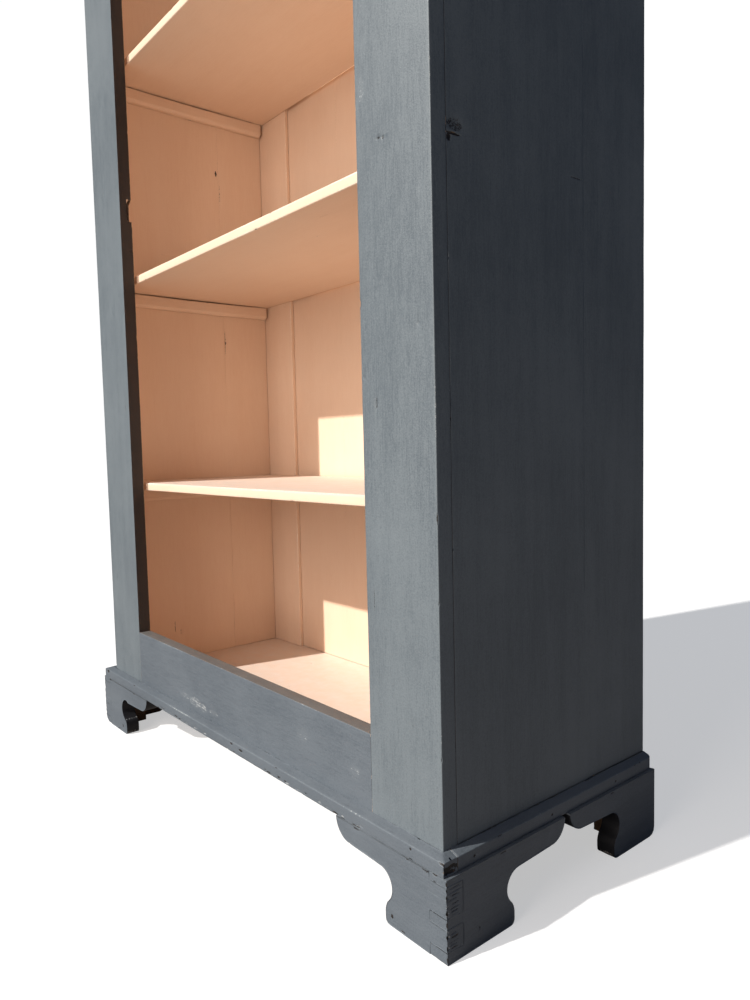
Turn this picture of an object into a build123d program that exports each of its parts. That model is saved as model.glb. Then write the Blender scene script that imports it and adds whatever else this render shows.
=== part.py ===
from build123d import *
import os

# Open bookcase: a softwood carcass with a face frame planted on its front,
# standing on a base moulding and shaped bracket feet, with loose shelves.
# Millimetres, +Z up, front towards -Y, origin under the middle of the
# bounding box, on the ground.

# ---------------------------------------------------------------- main sizes
CARCASS_W = 920.0
CARCASS_D = 389.0
CARCASS_TOP = 1734.0
FOOT_H = 92.0
BASE_TOP = 113.0

# ---------------------------------------------------------------- boards
SIDE_T = 28.0
FRAME_T = 22.0
FLOOR_T = 18.0
TOP_T = 20.0
SHELF_T = 15.0
FRONT_BOARD_D = 230.0

# ---------------------------------------------------------------- face frame
LEFT_STILE_W = 126.0
RIGHT_STILE_W = 118.0
BOTTOM_RAIL_H = 93.5
TOP_RAIL_H = 74.0
TENON_T = 8.0
TENON_L = 40.0
TENON_SHOULDER = 8.0
KEEPER_W = 12.0
KEEPER_D = 8.0
KEEPER_Z = 952.5
KEEPER_H = 36.0

# ---------------------------------------------------------------- base
PLINTH_PROJ = 12.0
PLINTH_DEPTH = 22.0
# the base is wider than the carcass, and its left end stands further out
BASE_STEP = {"left": 16.0, "right": 0.0}
LEDGE_DROP = 4.4
FRONT_BRACKET_T = 24.0
SIDE_BRACKET_PROUD = {"left": 6.0, "right": 4.0}
FRONT_WING = {"left": 208.0, "right": 190.0}
SIDE_FRONT_WING = 201.0
SIDE_REAR_WING = 191.0
FINGERS = [(14.0, 38.0), (50.0, 84.0)]
CORNER_BLOCK = 34.0
GLUE_BLOCK_L = 60.0
GLUE_BLOCK_W = 20.0
BLOCK_LIFT = 3.0

# ---------------------------------------------------------------- back
BACK_INSET = 34.0
BACK_STILE_T = 20.0
BACK_BOARD_T = 12.0
BACK_STILE_W = 112.0
BACK_REBATE = 12.0
BACK_LAP = 8.0
BACK_BOARDS = 4
BACK_RAIL_H = 90.0

# ---------------------------------------------------------------- shelves
SHELF_BOTTOMS = [468.0, 845.0, 1230.0]
SHELF_CLEAR = 1.5
SHELF_FRONT_GAP = 5.0
SHELF_BACK_GAP = 3.0
CLEAT_T = 15.0
CLEAT_H = 25.0
CLEAT_CHAMFER = 5.0
CLEAT_BACK_GAP = 5.0

# ---------------------------------------------------------------- cornice
CORNICE_PROJ = 34.0
CORNICE_H = 66.0

# ---------------------------------------------------------------- fixings
# each is head radius, head thickness, shank radius and whole length
CLEAT_NAIL = (2.2, 1.0, 1.1, 28.0)
MOULDING_NAIL = (2.2, 1.0, 1.1, 42.0)
BACK_SCREW = (4.0, 3.0, 1.8, 22.0)
CLEAT_NAIL_DROP = 9.0
CLEAT_NAIL_INS = [40.0, 165.0, 300.0]
MOULDING_NAIL_XS = [-400.0, -200.0, 0.0, 200.0, 400.0]
MOULDING_NAIL_INS = [60.0, 195.0, 330.0]

# ---------------------------------------------------------------- planes worked out
FRONT = CORNICE_PROJ - (CARCASS_D + CORNICE_PROJ) / 2
REAR = FRONT + CARCASS_D
HALF_W = CARCASS_W / 2
INSIDE = HALF_W - SIDE_T
FRAME_BACK = FRONT + FRAME_T
BACK_FACE = REAR - BACK_INSET
BOARD_FACE = BACK_FACE + BACK_STILE_T - BACK_BOARD_T
BACK_STILE_REAR = BACK_FACE + BACK_STILE_T
BACK_HALF = INSIDE + BACK_REBATE
BACK_OPEN = BACK_HALF - BACK_STILE_W
STILE_TOP = CARCASS_TOP - TOP_T
BOARD_SEAM = FRAME_BACK + FRONT_BOARD_D
PLINTH_HALF = {hand: HALF_W + PLINTH_PROJ + step for hand, step in BASE_STEP.items()}
PLINTH_INNER = {hand: half - PLINTH_DEPTH for hand, half in PLINTH_HALF.items()}
PLINTH_FRONT = FRONT - PLINTH_PROJ
LEDGE_Z = BASE_TOP - LEDGE_DROP
BRACKET_HALF = {hand: half + SIDE_BRACKET_PROUD[hand] for hand, half in PLINTH_HALF.items()}
BRACKET_BACK = PLINTH_FRONT + FRONT_BRACKET_T
PLINTH_BACK = PLINTH_FRONT + PLINTH_DEPTH
FLOOR_UNDER = BASE_TOP - FLOOR_T
SIGNS = {"left": -1, "right": 1}

os.makedirs("parts", exist_ok=True)


def save(piece, label):
    """Label a finished piece and write it as its own STEP file."""
    piece.part.label = label
    export_step(piece.part, f"parts/{label}.step")
    return piece


def block(x_range, y_range, z_range, mode=Mode.ADD):
    """Add or cut one square-edged block, given its span along each axis."""
    x0, x1 = sorted(x_range)
    y0, y1 = sorted(y_range)
    z0, z1 = sorted(z_range)
    with BuildSketch(Plane.XY.offset(z0)) as section:
        with Locations(((x0 + x1) / 2, (y0 + y1) / 2)):
            Rectangle(x1 - x0, y1 - y0)
    extrude(section.sketch, amount=z1 - z0, mode=mode)


def make_board(label, x_range, y_range, z_range):
    """Make and save a plain board."""
    with BuildPart() as board:
        block(x_range, y_range, z_range)
    return save(board, label)


# ---------------------------------------------------------------- carcass sides
for hand, sign in SIGNS.items():
    outer = sign * HALF_W
    inner = sign * INSIDE
    make_board(
        f"{hand}_side_front_board",
        (inner, outer),
        (FRAME_BACK, BOARD_SEAM),
        (BASE_TOP, STILE_TOP),
    )
    with BuildPart() as side_back_board:
        block((inner, outer), (BOARD_SEAM, REAR), (BASE_TOP, STILE_TOP))
        block(
            (inner, sign * BACK_HALF),
            (BACK_FACE, REAR),
            (BASE_TOP, STILE_TOP),
            mode=Mode.SUBTRACT,
        )
    save(side_back_board, f"{hand}_side_back_board")

floor_span = (-PLINTH_INNER["left"], PLINTH_INNER["right"])
make_board("floor_board", floor_span, (PLINTH_BACK, REAR), (FLOOR_UNDER, BASE_TOP))
make_board("top_board", (-HALF_W, HALF_W), (FRONT, REAR), (STILE_TOP, CARCASS_TOP))

# ---------------------------------------------------------------- face frame
left_edge = -HALF_W + LEFT_STILE_W
right_edge = HALF_W - RIGHT_STILE_W
tenon_y = (FRONT + (FRAME_T - TENON_T) / 2, FRONT + (FRAME_T + TENON_T) / 2)
bottom_rail_z = (BASE_TOP, BASE_TOP + BOTTOM_RAIL_H)
top_rail_z = (STILE_TOP - TOP_RAIL_H, STILE_TOP)


def tenon_span(rail_z):
    """Height of a rail's tenon, inside its two shoulders."""
    return (rail_z[0] + TENON_SHOULDER, rail_z[1] - TENON_SHOULDER)


def cut_mortises(edge, inwards):
    """Cut both rail mortises into a stile whose inner edge is at x = edge."""
    for rail_z in (bottom_rail_z, top_rail_z):
        block((edge, edge + inwards * TENON_L), tenon_y, tenon_span(rail_z), mode=Mode.SUBTRACT)


with BuildPart() as left_stile:
    block((-HALF_W, left_edge), (FRONT, FRAME_BACK), (BASE_TOP, STILE_TOP))
    cut_mortises(left_edge, -1)
    block(
        (left_edge - KEEPER_W, left_edge),
        (FRAME_BACK - KEEPER_D, FRAME_BACK),
        (KEEPER_Z, KEEPER_Z + KEEPER_H),
        mode=Mode.SUBTRACT,
    )
save(left_stile, "left_stile")

with BuildPart() as right_stile:
    block((right_edge, HALF_W), (FRONT, FRAME_BACK), (BASE_TOP, STILE_TOP))
    cut_mortises(right_edge, 1)
save(right_stile, "right_stile")

for label, rail_z in (("bottom_rail", bottom_rail_z), ("top_rail", top_rail_z)):
    with BuildPart() as rail:
        block((left_edge, right_edge), (FRONT, FRAME_BACK), rail_z)
        block((left_edge - TENON_L, right_edge + TENON_L), tenon_y, tenon_span(rail_z))
    save(rail, label)

# ---------------------------------------------------------------- base moulding
plinth_span = (-PLINTH_HALF["left"], PLINTH_HALF["right"])
plinth_mid = sum(plinth_span) / 2
plinth_w = plinth_span[1] - plinth_span[0]
moulding_regions = {
    "base_moulding_front": (plinth_span, (PLINTH_FRONT, PLINTH_BACK)),
    "base_moulding_left": ((plinth_span[0], floor_span[0]), (PLINTH_BACK, REAR)),
    "base_moulding_right": ((floor_span[1], plinth_span[1]), (PLINTH_BACK, REAR)),
}
slab_back = REAR + PLINTH_PROJ
for label, (x_span, y_span) in moulding_regions.items():
    with BuildPart() as moulding:
        block(plinth_span, (PLINTH_FRONT, slab_back), (FOOT_H, LEDGE_Z))
        with BuildSketch(Plane.XY.offset(LEDGE_Z)):
            with Locations((plinth_mid, (PLINTH_FRONT + slab_back) / 2)):
                Rectangle(plinth_w, slab_back - PLINTH_FRONT)
        with BuildSketch(Plane.XY.offset(BASE_TOP)):
            with Locations((plinth_mid, (FRONT + REAR) / 2)):
                Rectangle(plinth_w - 2 * PLINTH_PROJ, CARCASS_D)
        loft()
        block(x_span, y_span, (FOOT_H, BASE_TOP), mode=Mode.INTERSECT)
    save(moulding, label)

# ---------------------------------------------------------------- bracket feet
PAD_ROUND = 6.0
LOBE_Z = 16.0
NECK_START_BACK = 4.5
NECK_START_Z = 27.8
NECK_Z = 43.5
CUSP_Z = 64.0
OVOLO_R = 26.0
ARC_SIN = 0.7071
# the sawn shape of each foot: how far in its pad ends, its neck bites and its cusp stands
REAR_SHAPE = (97.0, 85.0, 106.5)
SIDE_SHAPE = (107.0, 95.0, 115.0)
FRONT_SHAPE = {"left": (108.0, 88.0, 119.0), "right": (99.0, 87.0, 107.5)}


def bracket_outline(wing, shape):
    """Draw a bracket: x runs inwards from the outer corner, y runs up."""
    pad, neck, cusp_x = shape
    neck_start = (pad - NECK_START_BACK, NECK_START_Z)
    cusp = (cusp_x, CUSP_Z)
    ovolo_start = (wing - OVOLO_R, FOOT_H - OVOLO_R)
    ovolo_mid = (wing - OVOLO_R * (1 - ARC_SIN), FOOT_H - OVOLO_R * ARC_SIN)
    round_mid = (pad - PAD_ROUND * (1 - ARC_SIN), PAD_ROUND * (1 - ARC_SIN))
    lobe_mid = (pad - 1.4, (LOBE_Z + NECK_START_Z) / 2)
    with BuildLine() as outline:
        Line((0, 0), (pad - PAD_ROUND, 0))
        ThreePointArc((pad - PAD_ROUND, 0), round_mid, (pad, PAD_ROUND))
        Line((pad, PAD_ROUND), (pad, LOBE_Z))
        ThreePointArc((pad, LOBE_Z), lobe_mid, neck_start)
        ThreePointArc(neck_start, (neck, NECK_Z), cusp)
        Line(cusp, ovolo_start)
        ThreePointArc(ovolo_start, ovolo_mid, (wing, FOOT_H))
        Line((wing, FOOT_H), (0, FOOT_H))
        Line((0, FOOT_H), (0, 0))
    make_face(outline.edges())


def finger_gaps(spans):
    """The heights left between the spans, from the ground to the foot's top."""
    edges = [0.0] + [z for span in spans for z in span] + [FOOT_H]
    return list(zip(edges[0::2], edges[1::2]))


for hand, sign in SIGNS.items():
    outer_x = sign * BRACKET_HALF[hand]
    side_t = BRACKET_HALF[hand] - PLINTH_INNER[hand]
    corner_x = (sign * PLINTH_INNER[hand], outer_x)
    corner_y = (PLINTH_FRONT, BRACKET_BACK)

    front_plane = Plane(
        origin=(outer_x, PLINTH_FRONT, 0),
        x_dir=(-sign, 0, 0),
        z_dir=(0, sign, 0),
    )
    with BuildPart() as front_bracket:
        with BuildSketch(front_plane):
            bracket_outline(FRONT_WING[hand], FRONT_SHAPE[hand])
        extrude(amount=sign * FRONT_BRACKET_T)
        for span in finger_gaps(FINGERS):
            block(corner_x, corner_y, span, mode=Mode.SUBTRACT)
    save(front_bracket, f"front_bracket_{hand}")

    side_front_plane = Plane(
        origin=(outer_x, PLINTH_FRONT, 0),
        x_dir=(0, 1, 0),
        z_dir=(1, 0, 0),
    )
    with BuildPart() as side_front_bracket:
        with BuildSketch(side_front_plane):
            bracket_outline(SIDE_FRONT_WING, SIDE_SHAPE)
        extrude(amount=-sign * side_t)
        for span in FINGERS:
            block(corner_x, corner_y, span, mode=Mode.SUBTRACT)
    save(side_front_bracket, f"side_bracket_front_{hand}")

    side_rear_plane = Plane(
        origin=(outer_x, REAR, 0),
        x_dir=(0, -1, 0),
        z_dir=(-1, 0, 0),
    )
    with BuildPart() as side_rear_bracket:
        with BuildSketch(side_rear_plane):
            bracket_outline(SIDE_REAR_WING, REAR_SHAPE)
        extrude(amount=sign * side_t)
    save(side_rear_bracket, f"side_bracket_rear_{hand}")

# ---------------------------------------------------------------- rear braces and blocks
BRACE_W = 110.0
BRACE_FOOT = 40.0
BRACE_END_Z = 70.0
BRACE_T = 22.0

for hand, sign in SIGNS.items():
    brace_plane = Plane(
        origin=(sign * PLINTH_INNER[hand], REAR, 0),
        x_dir=(-sign, 0, 0),
        z_dir=(0, sign, 0),
    )
    with BuildPart() as rear_brace:
        with BuildSketch(brace_plane):
            with BuildLine():
                Polyline(
                    (0, 0),
                    (BRACE_FOOT, 0),
                    (BRACE_W, BRACE_END_Z),
                    (BRACE_W, FLOOR_UNDER),
                    (0, FLOOR_UNDER),
                    close=True,
                )
            make_face()
        extrude(amount=-sign * BRACE_T)
    save(rear_brace, f"rear_brace_{hand}")

    block_x = (sign * PLINTH_INNER[hand], sign * (PLINTH_INNER[hand] - CORNER_BLOCK))
    rear_y = REAR - BRACE_T
    block_z = (BLOCK_LIFT, FLOOR_UNDER)
    make_board(f"corner_block_front_{hand}", block_x, (BRACKET_BACK, BRACKET_BACK + CORNER_BLOCK), block_z)
    make_board(f"corner_block_rear_{hand}", block_x, (rear_y - CORNER_BLOCK, rear_y), block_z)

with BuildPart() as glue_blocks:
    glue_z = (FLOOR_UNDER - GLUE_BLOCK_W, FLOOR_UNDER)
    for hand, sign in SIGNS.items():
        wing_x = sign * (BRACKET_HALF[hand] - FRONT_WING[hand] + GLUE_BLOCK_L / 2)
        block(
            (wing_x, wing_x + sign * GLUE_BLOCK_L),
            (BRACKET_BACK, BRACKET_BACK + GLUE_BLOCK_W),
            glue_z,
        )
        side_x = (sign * PLINTH_INNER[hand], sign * (PLINTH_INNER[hand] - GLUE_BLOCK_W))
        wing_front = PLINTH_FRONT + SIDE_FRONT_WING - GLUE_BLOCK_L / 2
        wing_rear = REAR - SIDE_REAR_WING + GLUE_BLOCK_L / 2
        block(side_x, (wing_front - GLUE_BLOCK_L, wing_front), glue_z)
        block(side_x, (wing_rear, wing_rear + GLUE_BLOCK_L), glue_z)
save(glue_blocks, "glue_blocks")

# ---------------------------------------------------------------- back
for hand, sign in SIGNS.items():
    with BuildPart() as back_stile:
        block(
            (sign * BACK_OPEN, sign * BACK_HALF),
            (BACK_FACE, BACK_STILE_REAR),
            (BASE_TOP, STILE_TOP),
        )
        block(
            (sign * BACK_OPEN, sign * (BACK_OPEN + BACK_LAP)),
            (BOARD_FACE, BACK_STILE_REAR),
            (BASE_TOP, STILE_TOP),
            mode=Mode.SUBTRACT,
        )
    save(back_stile, f"back_stile_{hand}")

boards_half = BACK_OPEN + BACK_LAP
back_board_w = 2 * boards_half / BACK_BOARDS
for index in range(BACK_BOARDS):
    board_x = -boards_half + index * back_board_w
    make_board(
        f"back_board_{index + 1}",
        (board_x, board_x + back_board_w),
        (BOARD_FACE, BACK_STILE_REAR),
        (BASE_TOP, STILE_TOP),
    )

back_span = STILE_TOP - BASE_TOP
back_rails = {
    "bottom": BASE_TOP,
    "middle": BASE_TOP + (back_span - BACK_RAIL_H) / 2,
    "top": STILE_TOP - BACK_RAIL_H,
}
for level, rail_low in back_rails.items():
    make_board(
        f"back_rail_{level}",
        (-BACK_HALF, BACK_HALF),
        (BACK_STILE_REAR, REAR),
        (rail_low, rail_low + BACK_RAIL_H),
    )

# ---------------------------------------------------------------- shelves and cleats
cleat_back = BACK_FACE - CLEAT_BACK_GAP
for number, under in enumerate(SHELF_BOTTOMS, start=1):
    make_board(
        f"shelf_{number}",
        (-INSIDE + SHELF_CLEAR, INSIDE - SHELF_CLEAR),
        (FRAME_BACK + SHELF_FRONT_GAP, BACK_FACE - SHELF_BACK_GAP),
        (under, under + SHELF_T),
    )
    for hand, sign in SIGNS.items():
        with BuildPart() as cleat:
            block(
                (sign * INSIDE, sign * (INSIDE - CLEAT_T)),
                (FRAME_BACK, cleat_back),
                (under - CLEAT_H, under),
            )
            inner_edges = cleat.edges().filter_by(Axis.Y).group_by(Axis.Z)[0]
            lower_arris = inner_edges.sort_by(Axis.X)[0 if sign > 0 else -1]
            chamfer(lower_arris, length=CLEAT_CHAMFER)
        save(cleat, f"cleat_{number}_{hand}")

# ---------------------------------------------------------------- cornice
CORNICE_FOOT = 4.0
CORNICE_FOOT_H = 7.0
COVE = (17.0, 30.0)
FILLET_STEP = 3.0
OVOLO_TOP = (31.0, 52.0)


def cornice_profile():
    """Draw the cornice section: x runs outwards, y runs up from its foot."""
    cove_start = (CORNICE_FOOT, CORNICE_FOOT_H)
    cove_mid = (CORNICE_FOOT + 3.4, COVE[1] - 7.6)
    ovolo_start = (COVE[0] + FILLET_STEP, COVE[1] + FILLET_STEP)
    ovolo_mid = (OVOLO_TOP[0] - 2.6, ovolo_start[1] + 5.6)
    with BuildLine() as section:
        Polyline((0, CORNICE_H), (0, 0), (CORNICE_FOOT, 0), cove_start)
        ThreePointArc(cove_start, cove_mid, COVE)
        Polyline(COVE, (COVE[0], COVE[1] + FILLET_STEP), ovolo_start)
        ThreePointArc(ovolo_start, ovolo_mid, OVOLO_TOP)
        Polyline(OVOLO_TOP, (CORNICE_PROJ, OVOLO_TOP[1]), (CORNICE_PROJ, CORNICE_H), (0, CORNICE_H))
    make_face(section.edges())


cornice_z = CARCASS_TOP - CORNICE_H
cornice_half = HALF_W + CORNICE_PROJ

front_run = Plane(origin=(cornice_half, FRONT, cornice_z), x_dir=(0, -1, 0), z_dir=(-1, 0, 0))
with BuildPart() as cornice_front:
    with BuildSketch(front_run):
        cornice_profile()
    extrude(amount=2 * cornice_half)
    for sign in SIGNS.values():
        split(bisect_by=Plane(origin=(sign * HALF_W, FRONT, 0), z_dir=(-sign, -1, 0)), keep=Keep.TOP)
save(cornice_front, "cornice_front")

for hand, sign in SIGNS.items():
    side_run = Plane(origin=(sign * HALF_W, REAR, cornice_z), x_dir=(sign, 0, 0), z_dir=(0, -sign, 0))
    with BuildPart() as cornice_side:
        with BuildSketch(side_run):
            cornice_profile()
        extrude(amount=sign * (CARCASS_D + CORNICE_PROJ))
        split(bisect_by=Plane(origin=(sign * HALF_W, FRONT, 0), z_dir=(sign, 1, 0)), keep=Keep.TOP)
    save(cornice_side, f"cornice_{hand}")

# ---------------------------------------------------------------- nails and screws


def fixing(face_point, inwards, kind):
    """Add one nail or screw: a flush head and its shank, driven along inwards."""
    head_r, head_t, shank_r, length = kind
    face = Plane(origin=face_point, z_dir=inwards)
    for radius, depth in ((head_r, head_t), (shank_r, length)):
        with BuildSketch(face) as section:
            Circle(radius)
        extrude(section.sketch, amount=depth)


with BuildPart() as cleat_nails:
    for under in SHELF_BOTTOMS:
        for sign in SIGNS.values():
            for inset in CLEAT_NAIL_INS:
                point = (sign * (INSIDE - CLEAT_T), FRAME_BACK + inset, under - CLEAT_NAIL_DROP)
                fixing(point, (sign, 0, 0), CLEAT_NAIL)
save(cleat_nails, "cleat_nails")

moulding_nail_z = (FOOT_H + LEDGE_Z) / 2 + 2.0
with BuildPart() as moulding_nails:
    for nail_x in MOULDING_NAIL_XS:
        fixing((nail_x, PLINTH_FRONT, moulding_nail_z), (0, 1, 0), MOULDING_NAIL)
    for hand, sign in SIGNS.items():
        for inset in MOULDING_NAIL_INS:
            point = (sign * PLINTH_HALF[hand], FRONT + inset, moulding_nail_z)
            fixing(point, (-sign, 0, 0), MOULDING_NAIL)
save(moulding_nails, "moulding_nails")

stile_screw_x = BACK_HALF - BACK_STILE_W / 2
screw_xs = [-boards_half + (index + 0.5) * back_board_w for index in range(BACK_BOARDS)]
screw_xs = [-stile_screw_x] + screw_xs + [stile_screw_x]
with BuildPart() as back_screws:
    for rail_low in back_rails.values():
        for screw_x in screw_xs:
            fixing((screw_x, REAR, rail_low + BACK_RAIL_H / 2), (0, -1, 0), BACK_SCREW)
save(back_screws, "back_screws")
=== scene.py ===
import logging
import math
import random
import zlib
from collections.abc import Callable, Iterable
from dataclasses import dataclass, field, replace
from enum import Enum

import bmesh
import bpy
import numpy as np
from mathutils import Matrix, Vector, noise
from mathutils.geometry import delaunay_2d_cdt


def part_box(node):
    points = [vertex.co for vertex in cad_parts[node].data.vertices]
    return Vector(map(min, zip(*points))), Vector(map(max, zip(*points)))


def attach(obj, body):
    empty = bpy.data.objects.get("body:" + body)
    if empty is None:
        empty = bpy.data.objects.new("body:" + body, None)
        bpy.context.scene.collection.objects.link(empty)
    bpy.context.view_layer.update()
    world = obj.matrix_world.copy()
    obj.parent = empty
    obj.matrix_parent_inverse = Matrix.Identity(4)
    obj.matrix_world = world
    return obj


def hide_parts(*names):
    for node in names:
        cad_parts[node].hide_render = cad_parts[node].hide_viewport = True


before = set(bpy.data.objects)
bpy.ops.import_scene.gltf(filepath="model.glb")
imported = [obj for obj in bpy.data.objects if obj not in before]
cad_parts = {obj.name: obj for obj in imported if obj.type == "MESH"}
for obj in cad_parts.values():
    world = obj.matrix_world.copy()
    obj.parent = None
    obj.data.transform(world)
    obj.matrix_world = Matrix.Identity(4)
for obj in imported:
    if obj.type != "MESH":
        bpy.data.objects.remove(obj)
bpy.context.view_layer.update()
LOG = logging.getLogger("bookcase")
MM = 0.001

Point2 = tuple[float, float]
Point3 = tuple[float, float, float]
Colour = tuple[float, float, float, float]
Box = tuple[Vector, Vector]
Wire = bpy.types.NodeSocket | float | tuple


# ------------------------------------------------------------------ named choices
class Grain(Enum):
    """Which way the wood's grain, and the painter's brush, runs."""

    ACROSS = 0
    BACKWARDS = 1
    UPRIGHT = 2


class Side(Enum):
    """The six ways that a face of a board can look."""

    LEFT = (0, -1)
    RIGHT = (0, 1)
    FRONT = (1, -1)
    BACK = (1, 1)
    UNDER = (2, -1)
    TOP = (2, 1)


class Coat(Enum):
    """The finishes that the bookcase wears; the two near-black ones carry painted shade."""

    SLATE = "slate_paint"
    SALMON = "inside_paint"
    # Near-black edge coat: dark stained wood with painted shade.
    SOOT = "slate_paint_dark"
    # Near-black coat for sawn bracket edges: painted shade over dark sawn wood.
    PITCH = "sawn_edge_dark"
    DUSKY = "slate_paint_faded"
    PINE = "bare_pine"
    STEEL = "steel"


# ------------------------------------------------------------------ shader wiring
class Wiring:
    """Adds nodes to one shader tree and joins them."""

    def __init__(self, tree: bpy.types.NodeTree) -> None:
        """Keep the tree that the nodes go into."""
        self.tree = tree

    def feed(self, socket: bpy.types.NodeSocket, value: Wire) -> None:
        """Join a socket to an input, or set the input to a plain value.

        Args:
            socket: the input.
            value: another node's output, a number or a tuple.
        """
        if isinstance(value, bpy.types.NodeSocket):
            self.tree.links.new(value, socket)
        else:
            socket.default_value = value

    def add(self, kind: str, inputs: dict | None = None, **settings: object) -> bpy.types.Node:
        """Add one node.

        Args:
            kind: the node's type, without its ShaderNode prefix.
            inputs: values or sockets by input name or number.
            settings: the node's own properties.

        Returns:
            The new node.
        """
        node = self.tree.nodes.new("ShaderNode" + kind)
        for key, value in settings.items():
            setattr(node, key, value)
        for key, value in (inputs or {}).items():
            self.feed(node.inputs[key], value)
        return node

    def math(self, operation: str, *values: Wire) -> bpy.types.NodeSocket:
        """Join one Math node to its values and return its result."""
        return self.add("Math", dict(enumerate(values)), operation=operation).outputs[0]

    def scaled(self, vector: Wire, stretch: Wire) -> bpy.types.NodeSocket:
        """Multiply a vector by another, part by part."""
        return self.add("VectorMath", {0: vector, 1: stretch}, operation="MULTIPLY").outputs[0]

    def fit(self, value: Wire, low: float, high: float, to: Point2 = (0.0, 1.0)) -> bpy.types.NodeSocket:
        """Stretch a span of values smoothly on to another span.

        Args:
            value: the value to map.
            low: where the span starts.
            high: where it ends.
            to: the two values that they become.

        Returns:
            The mapped value.
        """
        inputs = {"Value": value, "From Min": low, "From Max": high, "To Min": to[0], "To Max": to[1]}
        return self.add("MapRange", inputs, interpolation_type="SMOOTHSTEP").outputs["Result"]

    def noise(self, vector: Wire, scale: Wire, detail: float = 3.0, rough: float = 0.55) -> bpy.types.NodeSocket:
        """Add a noise texture and return its grey value."""
        inputs = {"Vector": vector, "Scale": scale, "Detail": detail, "Roughness": rough}
        return self.add("TexNoise", inputs, noise_dimensions="3D").outputs["Fac"]

    def blend(self, share: Wire, first: Wire, second: Wire) -> bpy.types.NodeSocket:
        """Mix two colours by a share from 0 to 1.

        Args:
            share: how much of the second colour shows.
            first: the colour at 0.
            second: the colour at 1.

        Returns:
            The mixed colour.
        """
        node = self.add("Mix", data_type="RGBA")
        for number, value in ((0, share), (6, first), (7, second)):
            self.feed(node.inputs[number], value)
        return node.outputs[2]

    def shade(self, colour: Wire, brightness: Wire) -> bpy.types.NodeSocket:
        """Make a colour lighter or darker by a factor."""
        return self.add("VectorMath", {0: colour, "Scale": brightness}, operation="SCALE").outputs[0]

    def mark(self, name: str) -> bpy.types.NodeSocket:
        """Read one of the numbers that the mesh carries at its points."""
        return self.add("Attribute", attribute_name=name, attribute_type="GEOMETRY").outputs["Fac"]


@dataclass(frozen=True)
class Effect:
    """A shader node group: its name, its inputs with their first values, its outputs and its wiring."""

    name: str
    inputs: dict[str, float | tuple]
    outputs: tuple[str, ...]
    draw: Callable[[Wiring, dict], dict]

    def group(self) -> bpy.types.NodeTree:
        """Build the group once and hand back the same one after that.

        Returns:
            The shader node group.
        """
        known = bpy.data.node_groups.get(self.name)
        if known:
            return known
        tree = bpy.data.node_groups.new(self.name, "ShaderNodeTree")
        for label, value in self.inputs.items():
            kind = "NodeSocketVector" if isinstance(value, tuple) else "NodeSocketFloat"
            tree.interface.new_socket(label, in_out="INPUT", socket_type=kind).default_value = value
        for label in self.outputs:
            tree.interface.new_socket(label, in_out="OUTPUT", socket_type="NodeSocketFloat")
        ins, outs = tree.nodes.new("NodeGroupInput"), tree.nodes.new("NodeGroupOutput")
        wiring = Wiring(tree)
        results = self.draw(wiring, {label: ins.outputs[label] for label in self.inputs})
        for label, socket in results.items():
            wiring.feed(outs.inputs[label], socket)
        return tree

    def place(self, wiring: Wiring, **values: Wire) -> dict[str, bpy.types.NodeSocket]:
        """Put the effect into a material.

        Args:
            wiring: the material's wiring.
            values: what goes into the inputs, by name.

        Returns:
            The group's outputs by name.
        """
        node = wiring.tree.nodes.new("ShaderNodeGroup")
        node.node_tree = self.group()
        for label, value in values.items():
            wiring.feed(node.inputs[label], value)
        return {label: node.outputs[label] for label in self.outputs}


def draw_brush(wiring: Wiring, given: dict) -> dict:
    """Wire long brush strokes: fine bristle lines, broad laps and slow patches.

    Args:
        wiring: the group's wiring.
        given: the group's inputs by name.

    Returns:
        The group's results by name.
    """
    lines = wiring.noise(given["Vector"], given["Bristles"], 4.0, 0.7)
    laps = wiring.noise(given["Vector"], wiring.math("MULTIPLY", given["Bristles"], 0.1), 3.0, 0.5)
    patches = wiring.noise(given["Place"], 4.3, 5.0, 0.6)
    grit = wiring.noise(given["Place"], 560.0, 3.0, 0.8)
    fine = wiring.math("MULTIPLY_ADD", lines, 0.42, wiring.math("MULTIPLY", grit, 0.58))
    broad = wiring.math("MULTIPLY_ADD", laps, 0.3, wiring.math("MULTIPLY", patches, 0.7))
    both = wiring.math("MULTIPLY_ADD", fine, 0.6, wiring.math("MULTIPLY", broad, 0.4))
    return {"Tone": wiring.fit(both, 0.4, 0.6), "Height": fine, "Lines": lines}


BRUSH = Effect(
    "Brush strokes",
    {"Vector": (0.0, 0.0, 0.0), "Place": (0.0, 0.0, 0.0), "Bristles": 420.0},
    ("Tone", "Height", "Lines"),
    draw_brush,
)


def draw_wear(wiring: Wiring, given: dict) -> dict:
    """Wire paint rubbed off the arrises in broken stretches.

    Args:
        wiring: the group's wiring.
        given: the group's inputs by name.

    Returns:
        The group's results by name.
    """
    arris = wiring.mark("wear")
    patchy = wiring.noise(given["Place"], given["Breakup"], 5.0, 0.7)
    stretches = wiring.noise(given["Place"], 9.0, 2.0, 0.5)
    reach = wiring.math("ADD", wiring.math("MULTIPLY", arris, 0.62), wiring.math("MULTIPLY", patchy, 0.55))
    reach = wiring.math("ADD", reach, wiring.math("MULTIPLY", stretches, 0.35))
    start = wiring.math("SUBTRACT", 1.36, given["Amount"])
    over = wiring.math("SUBTRACT", reach, start)
    return {"Mask": wiring.fit(over, 0.0, 0.09), "Soft": wiring.fit(over, -0.22, 0.1)}


WEAR = Effect(
    "Arris wear",
    {"Place": (0.0, 0.0, 0.0), "Breakup": 260.0, "Amount": 0.3},
    ("Mask", "Soft"),
    draw_wear,
)


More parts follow.
